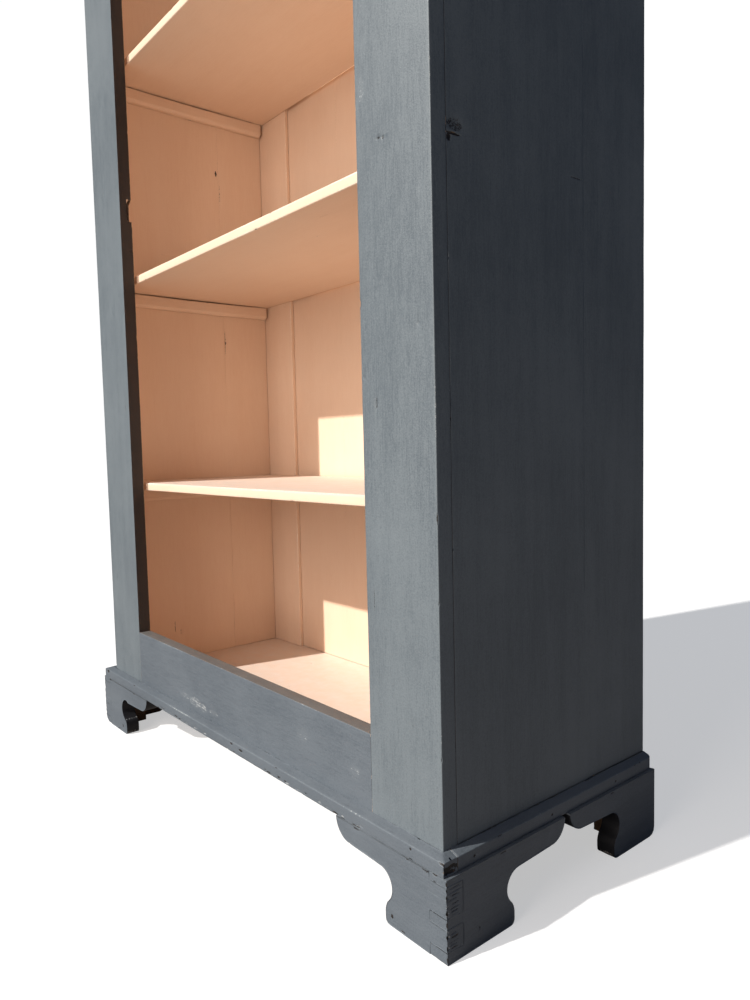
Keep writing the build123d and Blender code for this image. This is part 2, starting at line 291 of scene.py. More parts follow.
def draw_scuffs(wiring: Wiring, given: dict) -> dict:
    """Wire a few thin scratches and small knocks in the paint.

    Args:
        wiring: the group's wiring.
        given: the group's inputs by name.

    Returns:
        The group's results by name.
    """
    wander = wiring.add("TexNoise", {"Vector": given["Place"], "Scale": 7.0, "Detail": 2.0})
    bent = wiring.add("VectorMath", {0: wander.outputs["Color"], 1: (0.05,) * 3, 2: given["Vector"]})
    bent.operation = "MULTIPLY_ADD"
    cells = wiring.add("TexVoronoi", {"Vector": bent.outputs[0], "Scale": given["Spacing"]})
    cells.feature = "DISTANCE_TO_EDGE"
    line = wiring.fit(cells.outputs["Distance"], 0.012, 0.0)
    few = wiring.fit(wiring.noise(given["Place"], 13.0, 3.0, 0.6), 0.6, 0.72)
    specks = wiring.add("TexVoronoi", {"Vector": given["Place"], "Scale": 95.0})
    dots = wiring.fit(specks.outputs["Distance"], 0.13, 0.05)
    seldom = wiring.fit(wiring.noise(given["Place"], 31.0, 2.0, 0.5), 0.64, 0.7)
    return {"Lines": wiring.math("MULTIPLY", line, few), "Specks": wiring.math("MULTIPLY", dots, seldom)}


def draw_bared(wiring: Wiring, given: dict) -> dict:
    """Wire the ragged borders of chips and of rubbed patches that the mesh marks.

    Args:
        wiring: the group's wiring.
        given: the group's inputs by name.

    Returns:
        The group's results by name.
    """
    ragged = wiring.noise(given["Place"], 620.0, 4.0, 0.75)
    spread = wiring.math("MULTIPLY_ADD", ragged, 1.6, -0.8)
    bare = wiring.fit(wiring.math("ADD", wiring.mark("bare"), spread), 0.4, 0.62)
    hatched = wiring.noise(given["Vector"], 620.0, 3.0, 0.7)
    flecked = wiring.noise(given["Place"], 330.0, 4.0, 0.7)
    rubbed = wiring.math("MULTIPLY_ADD", wiring.math("ADD", hatched, flecked), 1.9, -1.9)
    pale = wiring.fit(wiring.math("ADD", wiring.mark("pale"), rubbed), 0.58, 0.86)
    haze = wiring.math("MULTIPLY", wiring.fit(wiring.mark("pale"), 0.0, 1.0), 0.14)
    pale = wiring.math("MAXIMUM", haze, wiring.math("MULTIPLY", pale, wiring.fit(wiring.mark("pale"), 0.0, 0.3)))
    brown = wiring.fit(wiring.noise(given["Place"], 300.0, 3.0, 0.6), 0.61, 0.76)
    return {"Bare": bare, "Pale": pale, "Brown": brown}


BARED = Effect(
    "Chips and rubs",
    {"Vector": (0.0, 0.0, 0.0), "Place": (0.0, 0.0, 0.0)},
    ("Bare", "Pale", "Brown"),
    draw_bared,
)


SCUFFS = Effect(
    "Scratches and specks",
    {"Vector": (0.0, 0.0, 0.0), "Place": (0.0, 0.0, 0.0), "Spacing": 9.0},
    ("Lines", "Specks"),
    draw_scuffs,
)


def draw_grain(wiring: Wiring, given: dict) -> dict:
    """Wire pine grain: growth rings seen along the board, fine pores and slow colour drift.

    Args:
        wiring: the group's wiring.
        given: the group's inputs by name.

    Returns:
        The group's results by name.
    """
    drift = wiring.noise(given["Vector"], 9.0, 3.0, 0.5)
    rings = wiring.math("SINE", wiring.math("MULTIPLY", drift, given["Rings"]))
    pores = wiring.noise(given["Vector"], 900.0, 2.0, 0.7)
    return {"Rings": wiring.fit(rings, -1.0, 1.0), "Pores": pores, "Drift": wiring.fit(drift, 0.3, 0.7)}


GRAIN = Effect(
    "Pine grain",
    {"Vector": (0.0, 0.0, 0.0), "Rings": 60.0},
    ("Rings", "Pores", "Drift"),
    draw_grain,
)


def draw_dust_and_sheen(wiring: Wiring, given: dict) -> dict:
    """Wire thin dust that lies on faces which look up, and the pale painted sheen on the salmon paint's upward faces.

    Args:
        wiring: the group's wiring.
        given: the group's inputs by name.

    Returns:
        The group's results by name.
    """
    normal = wiring.add("NewGeometry").outputs["Normal"]
    up = wiring.add("SeparateXYZ", {0: normal}).outputs["Z"]
    cloud = wiring.noise(given["Place"], 45.0, 5.0, 0.65)
    settled = wiring.math("MULTIPLY", wiring.fit(up, 0.55, 1.0), wiring.fit(cloud, 0.3, 0.75, (0.35, 0.62)))
    return {"Mask": wiring.math("MULTIPLY", settled, given["Amount"])}


# Dust on upward faces; with the salmon paint's pale colour and full amount it is also a painted sheen of reflected
# sky.
DUST_AND_SHEEN = Effect("Settled dust", {"Place": (0.0, 0.0, 0.0), "Amount": 0.4}, ("Mask",), draw_dust_and_sheen)


# ------------------------------------------------------------------ finishes
RUBBED_PALE = (0.34, 0.36, 0.37, 1.0)
GRIMED_WOOD = (0.010, 0.007, 0.006, 1.0)
BROKEN_WOOD = (0.12, 0.055, 0.024, 1.0)
WOOD_DUST = (0.3, 0.28, 0.25, 1.0)
WOOD_CRACK = (0.03, 0.018, 0.011, 1.0)


@dataclass(frozen=True)
class Paint:
    """A brushed coat of old paint over pine."""

    colour: Colour
    dark: Colour
    light: Colour
    under: Colour
    rough: Point2
    wear: float
    dust: float
    scuffs: float
    bristles: float = 420.0
    relief: float = 0.3
    # Colour factor for pieces brushed across or backwards: painted shade that keeps them darker than the upright
    # pieces.
    level: Point3 = (1.0, 1.0, 1.0)
    # The colour on upward faces: dust, and for the salmon paint a painted sheen.
    settled: Colour = (0.36, 0.35, 0.33, 1.0)

    def dress(self, wiring: Wiring, stretch: Point3) -> dict[str, Wire]:
        """Wire the coat's colour, roughness and relief.

        Args:
            wiring: the material's wiring.
            stretch: how the strokes are drawn out along each axis.

        Returns:
            The values for the Principled shader by input name.
        """
        place = wiring.add("TexCoord").outputs["Object"]
        drawn = wiring.scaled(place, stretch)
        brush = BRUSH.place(wiring, Vector=drawn, Place=place, Bristles=self.bristles)
        wear = WEAR.place(wiring, Place=place, Amount=self.wear)
        marks = SCUFFS.place(wiring, Vector=drawn, Place=place)
        dust = DUST_AND_SHEEN.place(wiring, Place=place, Amount=self.dust)
        chips = BARED.place(wiring, Vector=drawn, Place=place)
        # Pieces whose strokes do not run upright get the coat scaled by level: painted shade on the rails, mouldings,
        # brackets and cornice.
        level = (1.0, 1.0, 1.0) if stretch[2] < 1.0 else self.level
        dark, light, colour = (
            tuple(c * share for c, share in zip(tone, level)) + (1.0,) for tone in (self.dark, self.light, self.colour)
        )
        coat = wiring.blend(brush["Tone"], dark, light)
        coat = wiring.blend(wiring.fit(brush["Lines"], 0.35, 0.65, (0.0, 0.35)), coat, colour)
        coat = wiring.blend(wiring.math("MULTIPLY", wear["Soft"], 0.4), coat, self.light)
        scuffed = wiring.math("MULTIPLY", marks["Lines"], self.scuffs)
        coat = wiring.blend(scuffed, coat, self.light)
        coat = wiring.blend(wiring.math("MULTIPLY", marks["Specks"], self.scuffs), coat, self.light)
        coat = wiring.blend(wear["Mask"], coat, self.under)
        # Upward faces take the settled colour: dust, and on the salmon paint a painted sheen of reflected sky.
        coat = wiring.blend(dust["Mask"], coat, self.settled)
        coat = wiring.blend(chips["Pale"], coat, RUBBED_PALE)
        wood = wiring.blend(chips["Brown"], GRIMED_WOOD, BROKEN_WOOD)
        coat = wiring.blend(chips["Bare"], coat, wood)
        rough = wiring.fit(brush["Height"], 0.3, 0.7, self.rough)
        height = wiring.math("SUBTRACT", brush["Height"], wiring.math("MULTIPLY", wear["Mask"], 0.8))
        height = wiring.math("SUBTRACT", height, scuffed)
        height = wiring.math("SUBTRACT", height, wiring.math("MULTIPLY", chips["Bare"], 0.8))
        bump = wiring.add("Bump", {"Strength": self.relief, "Distance": 0.0009, "Height": height})
        return {"Base Color": coat, "Roughness": rough, "Normal": bump.outputs[0]}


@dataclass(frozen=True)
class Timbered:
    """Old pine that was never painted."""

    pale: Colour
    dark: Colour
    rough: Point2

    def dress(self, wiring: Wiring, stretch: Point3) -> dict[str, Wire]:
        """Wire the wood's colour, roughness and relief.

        Args:
            wiring: the material's wiring.
            stretch: how the grain is drawn out along each axis.

        Returns:
            The values for the Principled shader by input name.
        """
        place = wiring.add("TexCoord").outputs["Object"]
        board = wiring.add("CombineXYZ", {axis: wiring.mark("seed") for axis in range(3)})
        moved = wiring.add("VectorMath", {0: place, 1: board.outputs[0]}).outputs[0]
        grain = GRAIN.place(wiring, Vector=wiring.scaled(moved, stretch))
        wear = WEAR.place(wiring, Place=place, Amount=0.35)
        dust = DUST_AND_SHEEN.place(wiring, Place=place, Amount=0.5)
        wood = wiring.blend(wiring.math("MULTIPLY", grain["Rings"], 0.55), self.pale, self.dark)
        wood = wiring.shade(wood, wiring.fit(grain["Drift"], 0.0, 1.0, (0.7, 1.15)))
        wood = wiring.shade(wood, wiring.fit(grain["Pores"], 0.35, 0.65, (0.82, 1.06)))
        wood = wiring.blend(wiring.math("MULTIPLY", wear["Soft"], 0.5), wood, self.pale)
        wood = wiring.blend(dust["Mask"], wood, WOOD_DUST)
        wood = wiring.blend(wiring.mark("bare"), wood, WOOD_CRACK)
        rough = wiring.fit(grain["Pores"], 0.3, 0.7, self.rough)
        height = wiring.math("MULTIPLY_ADD", grain["Rings"], 0.4, grain["Pores"])
        bump = wiring.add("Bump", {"Strength": 0.25, "Distance": 0.0008, "Height": height})
        return {"Base Color": wood, "Roughness": rough, "Normal": bump.outputs[0]}


@dataclass(frozen=True)
class Iron:
    """Dull steel with rust."""

    clean: Colour
    rust: Colour

    def dress(self, wiring: Wiring, stretch: Point3) -> dict[str, Wire]:
        """Wire the metal's colour, roughness and rust.

        Args:
            wiring: the material's wiring.
            stretch: how the rust cloud is drawn out along each axis; metal has no grain.

        Returns:
            The values for the Principled shader by input name.
        """
        place = wiring.add("TexCoord").outputs["Object"]
        cloud = wiring.noise(wiring.scaled(place, stretch), 420.0, 5.0, 0.65)
        rusted = wiring.fit(cloud, 0.42, 0.6)
        tint = wiring.blend(rusted, self.clean, self.rust)
        rough = wiring.fit(cloud, 0.3, 0.7, (0.35, 0.8))
        metal = wiring.math("SUBTRACT", 1.0, rusted)
        bump = wiring.add("Bump", {"Strength": 0.3, "Distance": 0.0004, "Height": cloud})
        return {"Base Color": tint, "Roughness": rough, "Metallic": metal, "Normal": bump.outputs[0]}


SLATE = Paint(
    colour=(0.112, 0.136, 0.155, 1.0),
    dark=(0.088, 0.109, 0.127, 1.0),
    light=(0.152, 0.179, 0.198, 1.0),
    under=(0.34, 0.37, 0.38, 1.0),
    rough=(0.42, 0.62),
    wear=0.24,
    dust=0.12,
    scuffs=0.5,
    bristles=560.0,
    relief=0.5,
    # About a fifth darker on the rails, mouldings, brackets and cornice: painted shade.
    level=(0.81, 0.81, 0.85),
)
SALMON = Paint(
    colour=(0.79, 0.580, 0.432, 1.0),
    dark=(0.765, 0.550, 0.403, 1.0),
    light=(0.81, 0.615, 0.470, 1.0),
    under=(0.85, 0.73, 0.60, 1.0),
    # The pale settled colour and the full dust amount paint a sheen of reflected sky on the upward faces, over the
    # dust.
    settled=(0.78, 0.74, 0.71, 1.0),
    rough=(0.5, 0.66),
    wear=0.3,
    dust=1.0,
    scuffs=0.22,
    bristles=420.0,
    relief=0.22,
)
# Near-black coat for the stiles' inner edges, the side boards' edges and the top rail's underside: dark stain, with
# painted shade in the colour.
SOOT = Paint(
    colour=(0.024, 0.018, 0.016, 1.0),
    dark=(0.017, 0.012, 0.011, 1.0),
    light=(0.040, 0.031, 0.028, 1.0),
    under=(0.34, 0.28, 0.21, 1.0),
    rough=(0.5, 0.7),
    wear=0.34,
    dust=0.12,
    scuffs=0.35,
)
# Near-black coat for the brackets' sawn curves and pads: painted shade over the dark sawn wood.
PITCH = replace(
    SOOT,
    colour=(0.006, 0.007, 0.010, 1.0),
    dark=(0.004, 0.004, 0.006, 1.0),
    light=(0.012, 0.013, 0.017, 1.0),
    under=(0.40, 0.38, 0.35, 1.0),
    wear=0.3,
    dust=0.0,
)
DUSKY = replace(
    SLATE,
    colour=(0.128, 0.125, 0.123, 1.0),
    dark=(0.100, 0.098, 0.096, 1.0),
    light=(0.165, 0.162, 0.158, 1.0),
    level=(1.0, 1.0, 1.0),
)
PINE = Timbered(pale=(0.30, 0.185, 0.098, 1.0), dark=(0.12, 0.062, 0.030, 1.0), rough=(0.62, 0.85))
STEEL = Iron(clean=(0.16, 0.155, 0.15, 1.0), rust=(0.075, 0.035, 0.018, 1.0))
FINISHES = {Coat.SLATE: SLATE, Coat.SALMON: SALMON, Coat.SOOT: SOOT, Coat.PITCH: PITCH, Coat.DUSKY: DUSKY,
            Coat.PINE: PINE, Coat.STEEL: STEEL}
DRAWN_OUT = 0.075  # how far strokes and grain are drawn out along their run


def coat_material(coat: Coat, grain: Grain) -> bpy.types.Material:
    """Build the material for a finish brushed or grown along one axis, once.

    Args:
        coat: the finish.
        grain: the way that its strokes or grain run.

    Returns:
        The material.
    """
    name = f"{coat.value} {grain.name.lower()}"
    known = bpy.data.materials.get(name)
    if known:
        return known
    material = bpy.data.materials.new(name)
    material.use_nodes = True
    wiring = Wiring(material.node_tree)
    shader = material.node_tree.nodes["Principled BSDF"]
    stretch = tuple(DRAWN_OUT if axis == grain.value else 1.0 for axis in range(3))
    for label, value in FINISHES[coat].dress(wiring, stretch).items():
        wiring.feed(shader.inputs[label], value)
    return material


# ------------------------------------------------------------------ timber
@dataclass(frozen=True)
class Corner:
    """A corner of a section, in metres, and how far its arris is eased."""

    u: float
    v: float
    ease: float = 1.1 * MM


@dataclass(frozen=True)
class Knock:
    """A chip, crack, hole or smear: its middle, half sizes, depth and what shows in it."""

    at: Point3
    size: Point3
    depth: float
    bare: float = 1.0
    pale: float = 0.0


@dataclass
class Ring:
    """The points round a section, their outward directions and how near an arris each is."""

    points: np.ndarray
    outward: np.ndarray
    wear: np.ndarray
    corner: np.ndarray
    mitre: np.ndarray
    ease: np.ndarray

    def inset(self, amount: float) -> np.ndarray:
        """Move the ring inwards, keeping its flats parallel.

        Args:
            amount: how far.

        Returns:
            The points of the smaller ring.
        """
        mitred = self.corner - self.mitre * amount
        round_still = (self.ease >= amount)[:, None]
        return np.where(round_still, self.points - self.outward * amount, mitred)

    def facing(self, amount: float) -> np.ndarray:
        """Give the outward directions once the ring is moved inwards.

        Args:
            amount: how far.

        Returns:
            The directions, one at each corner that has lost its round.
        """
        sharp = self.mitre / np.linalg.norm(self.mitre, axis=1)[:, None]
        return np.where((self.ease >= amount)[:, None], self.outward, sharp)


WEAR_REACH = 2.2 * MM  # how far wear spreads from an arris
WORN_EASE = 0.8 * MM  # an arris eased this far shows all its wear
MARGINS = (1.5 * MM, 4.0 * MM, 9.0 * MM)  # extra divisions near the ends of a flat
MERGES = (0.004 * MM, 0.0008 * MM, 0.0)  # how near points are merged, tried in turn
SPREAD = (-1.0, -0.66, -0.33, 0.0, 0.33, 0.66, 1.0)  # divisions across a knock, as shares of its reach
TIGHT = 0.5 * MM  # how far a board runs into the next one, so that no gap shows
SUNK = 1.6 * MM  # how far the frame's feet stand down into the moulding


def spaced(
    length: float, step: float, extra: Iterable[float] = (), least: float = 0.5 * MM, clear: float = 0.5 * MM
) -> list[float]:
    """Share out the places where a straight run is divided.

    Args:
        length: the run's length.
        step: the most between two places far from its ends.
        extra: places that are wanted as well.
        least: the least between two places.
        clear: how far those stay from the run's ends.

    Returns:
        The places between the two ends, in order.
    """
    wanted = [m for m in MARGINS if 2 * m < length] + [length - m for m in MARGINS if 2 * m < length]
    count = max(1, math.ceil(length / step))
    wanted += [length * index / count for index in range(1, count)]
    firm = [place for place in extra if clear < place < length - clear]
    kept: list[float] = []
    for place in sorted(firm) + [p for p in wanted if all(abs(p - f) > least for f in firm)]:
        if all(abs(place - other) > least for other in kept):
            kept.append(place)
    return sorted(kept)


def trace_ring(corners: list[Corner], step: float, knocks: list[tuple[float, float, float]], clear: float) -> Ring:
    """Draw the points round a section, with its arrises eased.

    Args:
        corners: the section's corners in order.
        step: the most between points on the flats.
        knocks: middles of knocks in the section, each with its reach.
        clear: how far from a corner the points of a knock stay.

    Returns:
        The ring of points.
    """
    flat = [Vector((c.u, c.v)) for c in corners]
    area = sum(a.x * b.y - b.x * a.y for a, b in zip(flat, flat[1:] + flat[:1]))
    if area < 0:
        corners, flat = corners[::-1], flat[::-1]
    count = len(flat)
    arcs: list[list[tuple[Vector, Vector, float]]] = []
    joints: list[tuple[Vector, float]] = []
    for index, corner in enumerate(corners):
        back = (flat[index - 1] - flat[index]).normalized()
        ahead = (flat[(index + 1) % count] - flat[index]).normalized()
        out_a, out_b = Vector((-back.y, back.x)), Vector((ahead.y, -ahead.x))
        turn = out_a.angle_signed(out_b, 0.0) if out_a.length and out_b.length else 0.0
        mitre = (out_a + out_b) / max(0.2, 1.0 + out_a.dot(out_b))
        if corner.ease <= 0 or abs(turn) < 0.15:
            arcs.append([(flat[index], mitre.normalized(), 0.0)])
            joints.append((mitre, 0.0))
            continue
        reach = corner.ease * math.tan(abs(turn) / 2)
        inwards = -1.0 if (back.x * ahead.y - back.y * ahead.x) > 0 else 1.0
        centre = flat[index] + back * reach - out_a * corner.ease * inwards
        arc = []
        for share in (0.0, 1 / 3, 2 / 3, 1.0):
            direction = out_a.slerp(out_b, share, out_a)
            worn = min(1.0, corner.ease / WORN_EASE) if inwards > 0 else 0.0
            arc.append((centre + direction * corner.ease * inwards, direction, worn))
        arcs.append(arc)
        joints.append((mitre, corner.ease if inwards > 0 else 1.0))
    points, outward, wear, anchors, mitres, eases = [], [], [], [], [], []
    for index, arc in enumerate(arcs):
        for place, direction, worn in arc:
            points.append(place)
            outward.append(direction)
            wear.append(worn)
            anchors.append(flat[index])
            mitres.append(joints[index][0])
            eases.append(joints[index][1])
        start, end = arc[-1], arcs[(index + 1) % count][0]
        run = end[0] - start[0]
        length = run.length
        if length < 1.2 * MM:
            continue
        along = run / length
        out = Vector((along.y, -along.x))
        extra = []
        for u, v, reach in knocks:
            offset = Vector((u, v)) - start[0]
            if abs(offset.dot(out)) < reach:
                extra += [offset.dot(along) + reach * share for share in SPREAD]
        for place in spaced(length, step, extra, clear=clear):
            points.append(start[0] + along * place)
            outward.append(out)
            near = max(start[2] * math.exp(-place / WEAR_REACH), end[2] * math.exp((place - length) / WEAR_REACH))
            wear.append(near)
            anchors.append(points[-1])
            mitres.append(out)
            eases.append(0.0)
    return Ring(*(np.array(values) for values in (points, outward, wear, anchors, mitres, eases)))


def ripple(points: np.ndarray, pitch: Point3, seed: float) -> np.ndarray:
    """Smooth unevenness at each point.

    Args:
        points: the places.
        pitch: the size of its waves along each axis.
        seed: sets one board apart from the next.

    Returns:
        A value from 0 to 1 for each place.
    """
    places = points / np.array(pitch) + seed
    return np.array([noise.noise(place) for place in places]) * 0.5 + 0.5


@dataclass
class Timber:
    """One length of timber: a section drawn along its grain, uneven, eased and knocked about."""

    name: str
    stands_for: str
    corners: list[Corner]
    along: int
    span: tuple[float, float]
    grain: Grain
    skins: dict[Side, Coat]
    rest: Coat = Coat.PINE
    body: str = "carcass"
    slot: str = "slate_paint"
    knocks: list[Knock] = field(default_factory=list)
    nicks: int = 6
    step: float = 22 * MM
    cap_step: float = 16 * MM
    uneven: float = 0.35 * MM
    end_ease: float = 0.9 * MM
    shaped: Callable[[np.ndarray, float, float], np.ndarray] | None = None
    ends: Callable[[np.ndarray], tuple[np.ndarray, np.ndarray]] | None = None

    def seed(self) -> int:
        """Give the same number for this name every time."""
        return zlib.crc32(self.name.encode())

    def place(self, along: np.ndarray, section: np.ndarray) -> np.ndarray:
        """Turn a place along the run and in its section into a point in space.

        Args:
            along: distances along the run.
            section: places in the section.

        Returns:
            The points.
        """
        points = np.empty((len(section), 3))
        others = [axis for axis in range(3) if axis != self.along]
        points[:, self.along] = along
        points[:, others[0]] = section[:, 0]
        points[:, others[1]] = section[:, 1]
        return points

    def arris_nicks(self, dice: random.Random) -> list[Knock]:
        """Scatter small nicks along the outward arrises.

        Args:
            dice: the board's own seeded dice.

        Returns:
            The nicks.
        """
        eased = [corner for corner in self.corners if corner.ease > 0]
        made = []
        for _ in range(self.nicks if eased else 0):
            corner = dice.choice(eased)
            spot = dice.uniform(*self.span)
            long, wide = dice.uniform(2.0, 7.0) * MM, dice.uniform(1.2, 2.6) * MM
            at = self.place(np.array([spot]), np.array([[corner.u, corner.v]]))[0]
            size = [wide] * 3
            size[self.along] = long
            made.append(Knock(tuple(at), tuple(size), dice.uniform(0.3, 1.1) * MM, bare=dice.uniform(0.3, 0.9)))
        return made

    def build(self) -> bpy.types.Object:
        """Make the mesh, its marks and its materials, and stand it in for the CAD node.

        Returns:
            The finished piece.
        """
        dice = random.Random(self.seed())
        knocks = self.knocks + self.arris_nicks(dice)
        others = [axis for axis in range(3) if axis != self.along]
        seen = [(k.at[others[0]], k.at[others[1]], max(k.size[a] for a in others)) for k in knocks]
        ring = trace_ring(self.corners, self.step, seen, self.end_ease + 0.3 * MM)
        count = len(ring.points)
        low, high = self.span
        length = high - low
        ease = min(self.end_ease, length / 4)
        extra = [k.at[self.along] - low + k.size[self.along] * share for k in knocks for share in SPREAD]
        stations = [(0.0, ease), (0.3 * ease, 0.3 * ease), (ease, 0.0)]
        stations += [(ease + place, 0.0) for place in spaced(length - 2 * ease, self.step, [e - ease for e in extra])]
        stations += [(length - ease, 0.0), (length - 0.3 * ease, 0.3 * ease), (length, ease)]

        if self.ends:
            near, far = self.ends(ring.points)
        else:
            near, far = np.full(count, low), np.full(count, high)
        rows, normals, worn = [], [], []
        axis_vector = np.zeros(3)
        axis_vector[self.along] = 1.0
        for along, inset in stations:
            share = along / length
            places = near + (far - near) * share
            rows.append(self.place(places, ring.inset(inset)))
            tilt = (inset / ease) * (-1.0 if share < 0.5 else 1.0) if ease else 0.0
            sideways = self.place(np.zeros(count), ring.facing(inset))
            normals.append(sideways * math.sqrt(max(0.0, 1 - tilt * tilt)) + axis_vector * tilt)
            end_wear = math.exp(-min(along, length - along) / WEAR_REACH) * min(1.0, self.end_ease / WORN_EASE)
            worn.append(np.maximum(ring.wear, end_wear))
        faces = []
        for row in range(len(stations) - 1):
            for index in range(count):
                ahead = (index + 1) % count
                a, b = row * count, (row + 1) * count
                face = (a + index, a + ahead, b + ahead, b + index)
                faces.append(face[::-1] if self.along == 1 else face)
        for row, sign in ((0, -1.0), (len(stations) - 1, 1.0)):
            edge = ring.inset(ease)
            inner, triangles = fill_cap(edge, ring.inset(ease + 2.4 * MM), self.cap_step, seen)
            base = sum(len(r) for r in rows)
            if len(inner):
                ends = near if row == 0 else far
                level = ends[0] if not self.ends else self.ends(inner)[0 if row == 0 else 1]
                rows.append(self.place(np.broadcast_to(level, len(inner)), inner))
                normals.append(np.tile(axis_vector * sign, (len(inner), 1)))
                gap = np.min(np.linalg.norm(inner[:, None, :] - edge[None, :, :], axis=2), axis=1)
                worn.append(np.exp(-gap / WEAR_REACH))
            backwards = (sign < 0) != (self.along == 1)
            for triangle in triangles:
                face = tuple(row * count + i if i < count else base + i - count for i in triangle)
                faces.append(face[::-1] if backwards else face)
        points, directions, wear = np.vstack(rows), np.vstack(normals), np.concatenate(worn)
        return self.finish(points, directions, wear, faces, knocks)

    def finish(
        self, points: np.ndarray, directions: np.ndarray, wear: np.ndarray, faces: list, knocks: list[Knock]
    ) -> bpy.types.Object:
        """Press the unevenness and the knocks into the mesh and dress it.

        Args:
            points: the mesh's points.
            directions: which way is outwards at each point.
            wear: how near an arris each point is.
            faces: the mesh's faces.
            knocks: the chips and marks.

        Returns:
            The finished piece.
        """
        shift = self.seed() % 997 * 0.37
        pitch = [0.11] * 3
        pitch[self.along] = 0.34
        sunk = ripple(points, tuple(pitch), shift) * self.uneven
        sunk += ripple(points, (0.013,) * 3, shift + 5.0) * 0.12 * MM
        sunk += wear * ripple(points, (0.006,) * 3, shift + 9.0) * 0.35 * MM
        bare, pale = np.zeros(len(points)), np.zeros(len(points))
        for number, knock in enumerate(knocks):
            away = np.linalg.norm((points - np.array(knock.at)) / np.array(knock.size), axis=1)
            near = np.nonzero(away < 1.0)[0]
            if not len(near):
                continue
            ragged = ripple(points[near], (0.0025,) * 3, shift + number)
            depth = np.clip((1.0 - away[near] ** 2) * (0.55 + ragged), 0.0, 1.0)
            sunk[near] += depth * knock.depth
            shown = np.clip((depth - 0.25) * 3.0, 0.0, 1.0)
            bare[near] = np.maximum(bare[near], shown * knock.bare)
            pale[near] = np.maximum(pale[near], shown * knock.pale)
        points = points - directions * sunk[:, None]
        if self.shaped:
            points = self.shaped(points, *self.span)
        mesh = bpy.data.meshes.new(self.name)
        mesh.from_pydata([tuple(p) for p in points], [], faces)
        marks = {"wear": wear, "bare": bare, "pale": pale, "seed": np.full(len(points), shift % 7.0)}
        for label, values in marks.items():
            layer = mesh.attributes.new(label, "FLOAT", "POINT")
            layer.data.foreach_set("value", values.astype(np.float32))
        tidy_mesh(mesh)
        self.paint(mesh)
        piece = bpy.data.objects.new(self.name, mesh)
        bpy.context.scene.collection.objects.link(piece)
        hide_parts(self.stands_for)
        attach(piece, self.body)
        return piece

    def paint(self, mesh: bpy.types.Mesh) -> None:
        """Give each face the coat of the side that it looks to.

        Args:
            mesh: the finished mesh.
        """
        coats = list(dict.fromkeys([*self.skins.values(), self.rest]))
        for coat in coats:
            mesh.materials.append(coat_material(coat, self.grain))
        for face in mesh.polygons:
            axis = max(range(3), key=lambda a: abs(face.normal[a]))
            side = Side((axis, 1 if face.normal[axis] > 0 else -1))
            face.material_index = coats.index(self.skins.get(side, self.rest))


def fill_cap(
    edge: np.ndarray, margin: np.ndarray, step: float, knocks: list[tuple[float, float, float]]
) -> tuple[np.ndarray, list]:
    """Fill an end of a run with triangles that stay dense by its edge and its knocks.

    Args:
        edge: the points round the end.
        margin: points a little inside the edge.
        step: the spacing of the points in the middle.
        knocks: middles of knocks in the section, each with its reach.

    Returns:
        The points inside the edge, and the triangles, numbered with the edge first.
    """
    low, high = edge.min(axis=0), edge.max(axis=0)
    wanted = [tuple(p) for p in margin]
    columns = max(1, math.ceil((high[0] - low[0]) / step))
    levels = max(1, math.ceil((high[1] - low[1]) / step))
    for column in range(1, columns):
        for level in range(1, levels):
            nudge = 0.5 * (level % 2) - 0.25
            u = low[0] + (high[0] - low[0]) * (column + nudge) / columns
            wanted.append((u, low[1] + (high[1] - low[1]) * level / levels))
    for u, v, reach in knocks:
        spots = [reach * share for share in SPREAD]
        wanted += [(u + a, v + b) for a in spots for b in spots if math.hypot(a, b) <= reach]
    loop = np.vstack([edge, edge[:1]])
    starts, runs = loop[:-1], np.diff(loop, axis=0)
    squares = np.maximum((runs**2).sum(axis=1), 1e-18)
    inner: list[Point2] = []
    for point in wanted:
        offsets = np.array(point) - starts
        share = np.clip((offsets * runs).sum(axis=1) / squares, 0.0, 1.0)
        gap = np.linalg.norm(offsets - runs * share[:, None], axis=1).min()
        crossing = (starts[:, 1] > point[1]) != (loop[1:, 1] > point[1])
        rise = np.where(np.abs(runs[:, 1]) < 1e-12, 1e-12, runs[:, 1])
        hits = starts[:, 0] + (point[1] - starts[:, 1]) * runs[:, 0] / rise > point[0]
        inside = np.count_nonzero(crossing & hits) % 2 == 1
        if inside and gap > 1.2 * MM and all(math.dist(point, other) > 1.0 * MM for other in inner):
            inner.append(point)
    count = len(edge)
    spots = [Vector(p) for p in edge] + [Vector(p) for p in inner]
    border = [(i, (i + 1) % count) for i in range(count)]
    result = delaunay_2d_cdt(spots, border, [list(range(count))], 1, 1e-7)
    number = [min(origins) for origins in result[3]]
    triangles = [[number[i] for i in face] for face in result[2]]
    return np.array(inner).reshape(-1, 2), triangles


def tidy_mesh(mesh: bpy.types.Mesh) -> None:
    """Merge doubles where that keeps the skin whole, turn every face outwards and shade the mesh smoothly.

    Args:
        mesh: the mesh to tidy.
    """
    for merged in MERGES:
        work = bmesh.new()
        work.from_mesh(mesh)
        if merged:
            bmesh.ops.remove_doubles(work, verts=work.verts, dist=merged)
            bmesh.ops.dissolve_degenerate(work, edges=work.edges, dist=merged / 2)
        if not merged or all(len(edge.link_faces) == 2 for edge in work.edges):
            break
        work.free()
    bmesh.ops.recalc_face_normals(work, faces=work.faces)
    if work.calc_volume(signed=True) < 0:
        bmesh.ops.reverse_faces(work, faces=work.faces)
    for face in work.faces:
        face.smooth = True
    work.to_mesh(mesh)
    work.free()


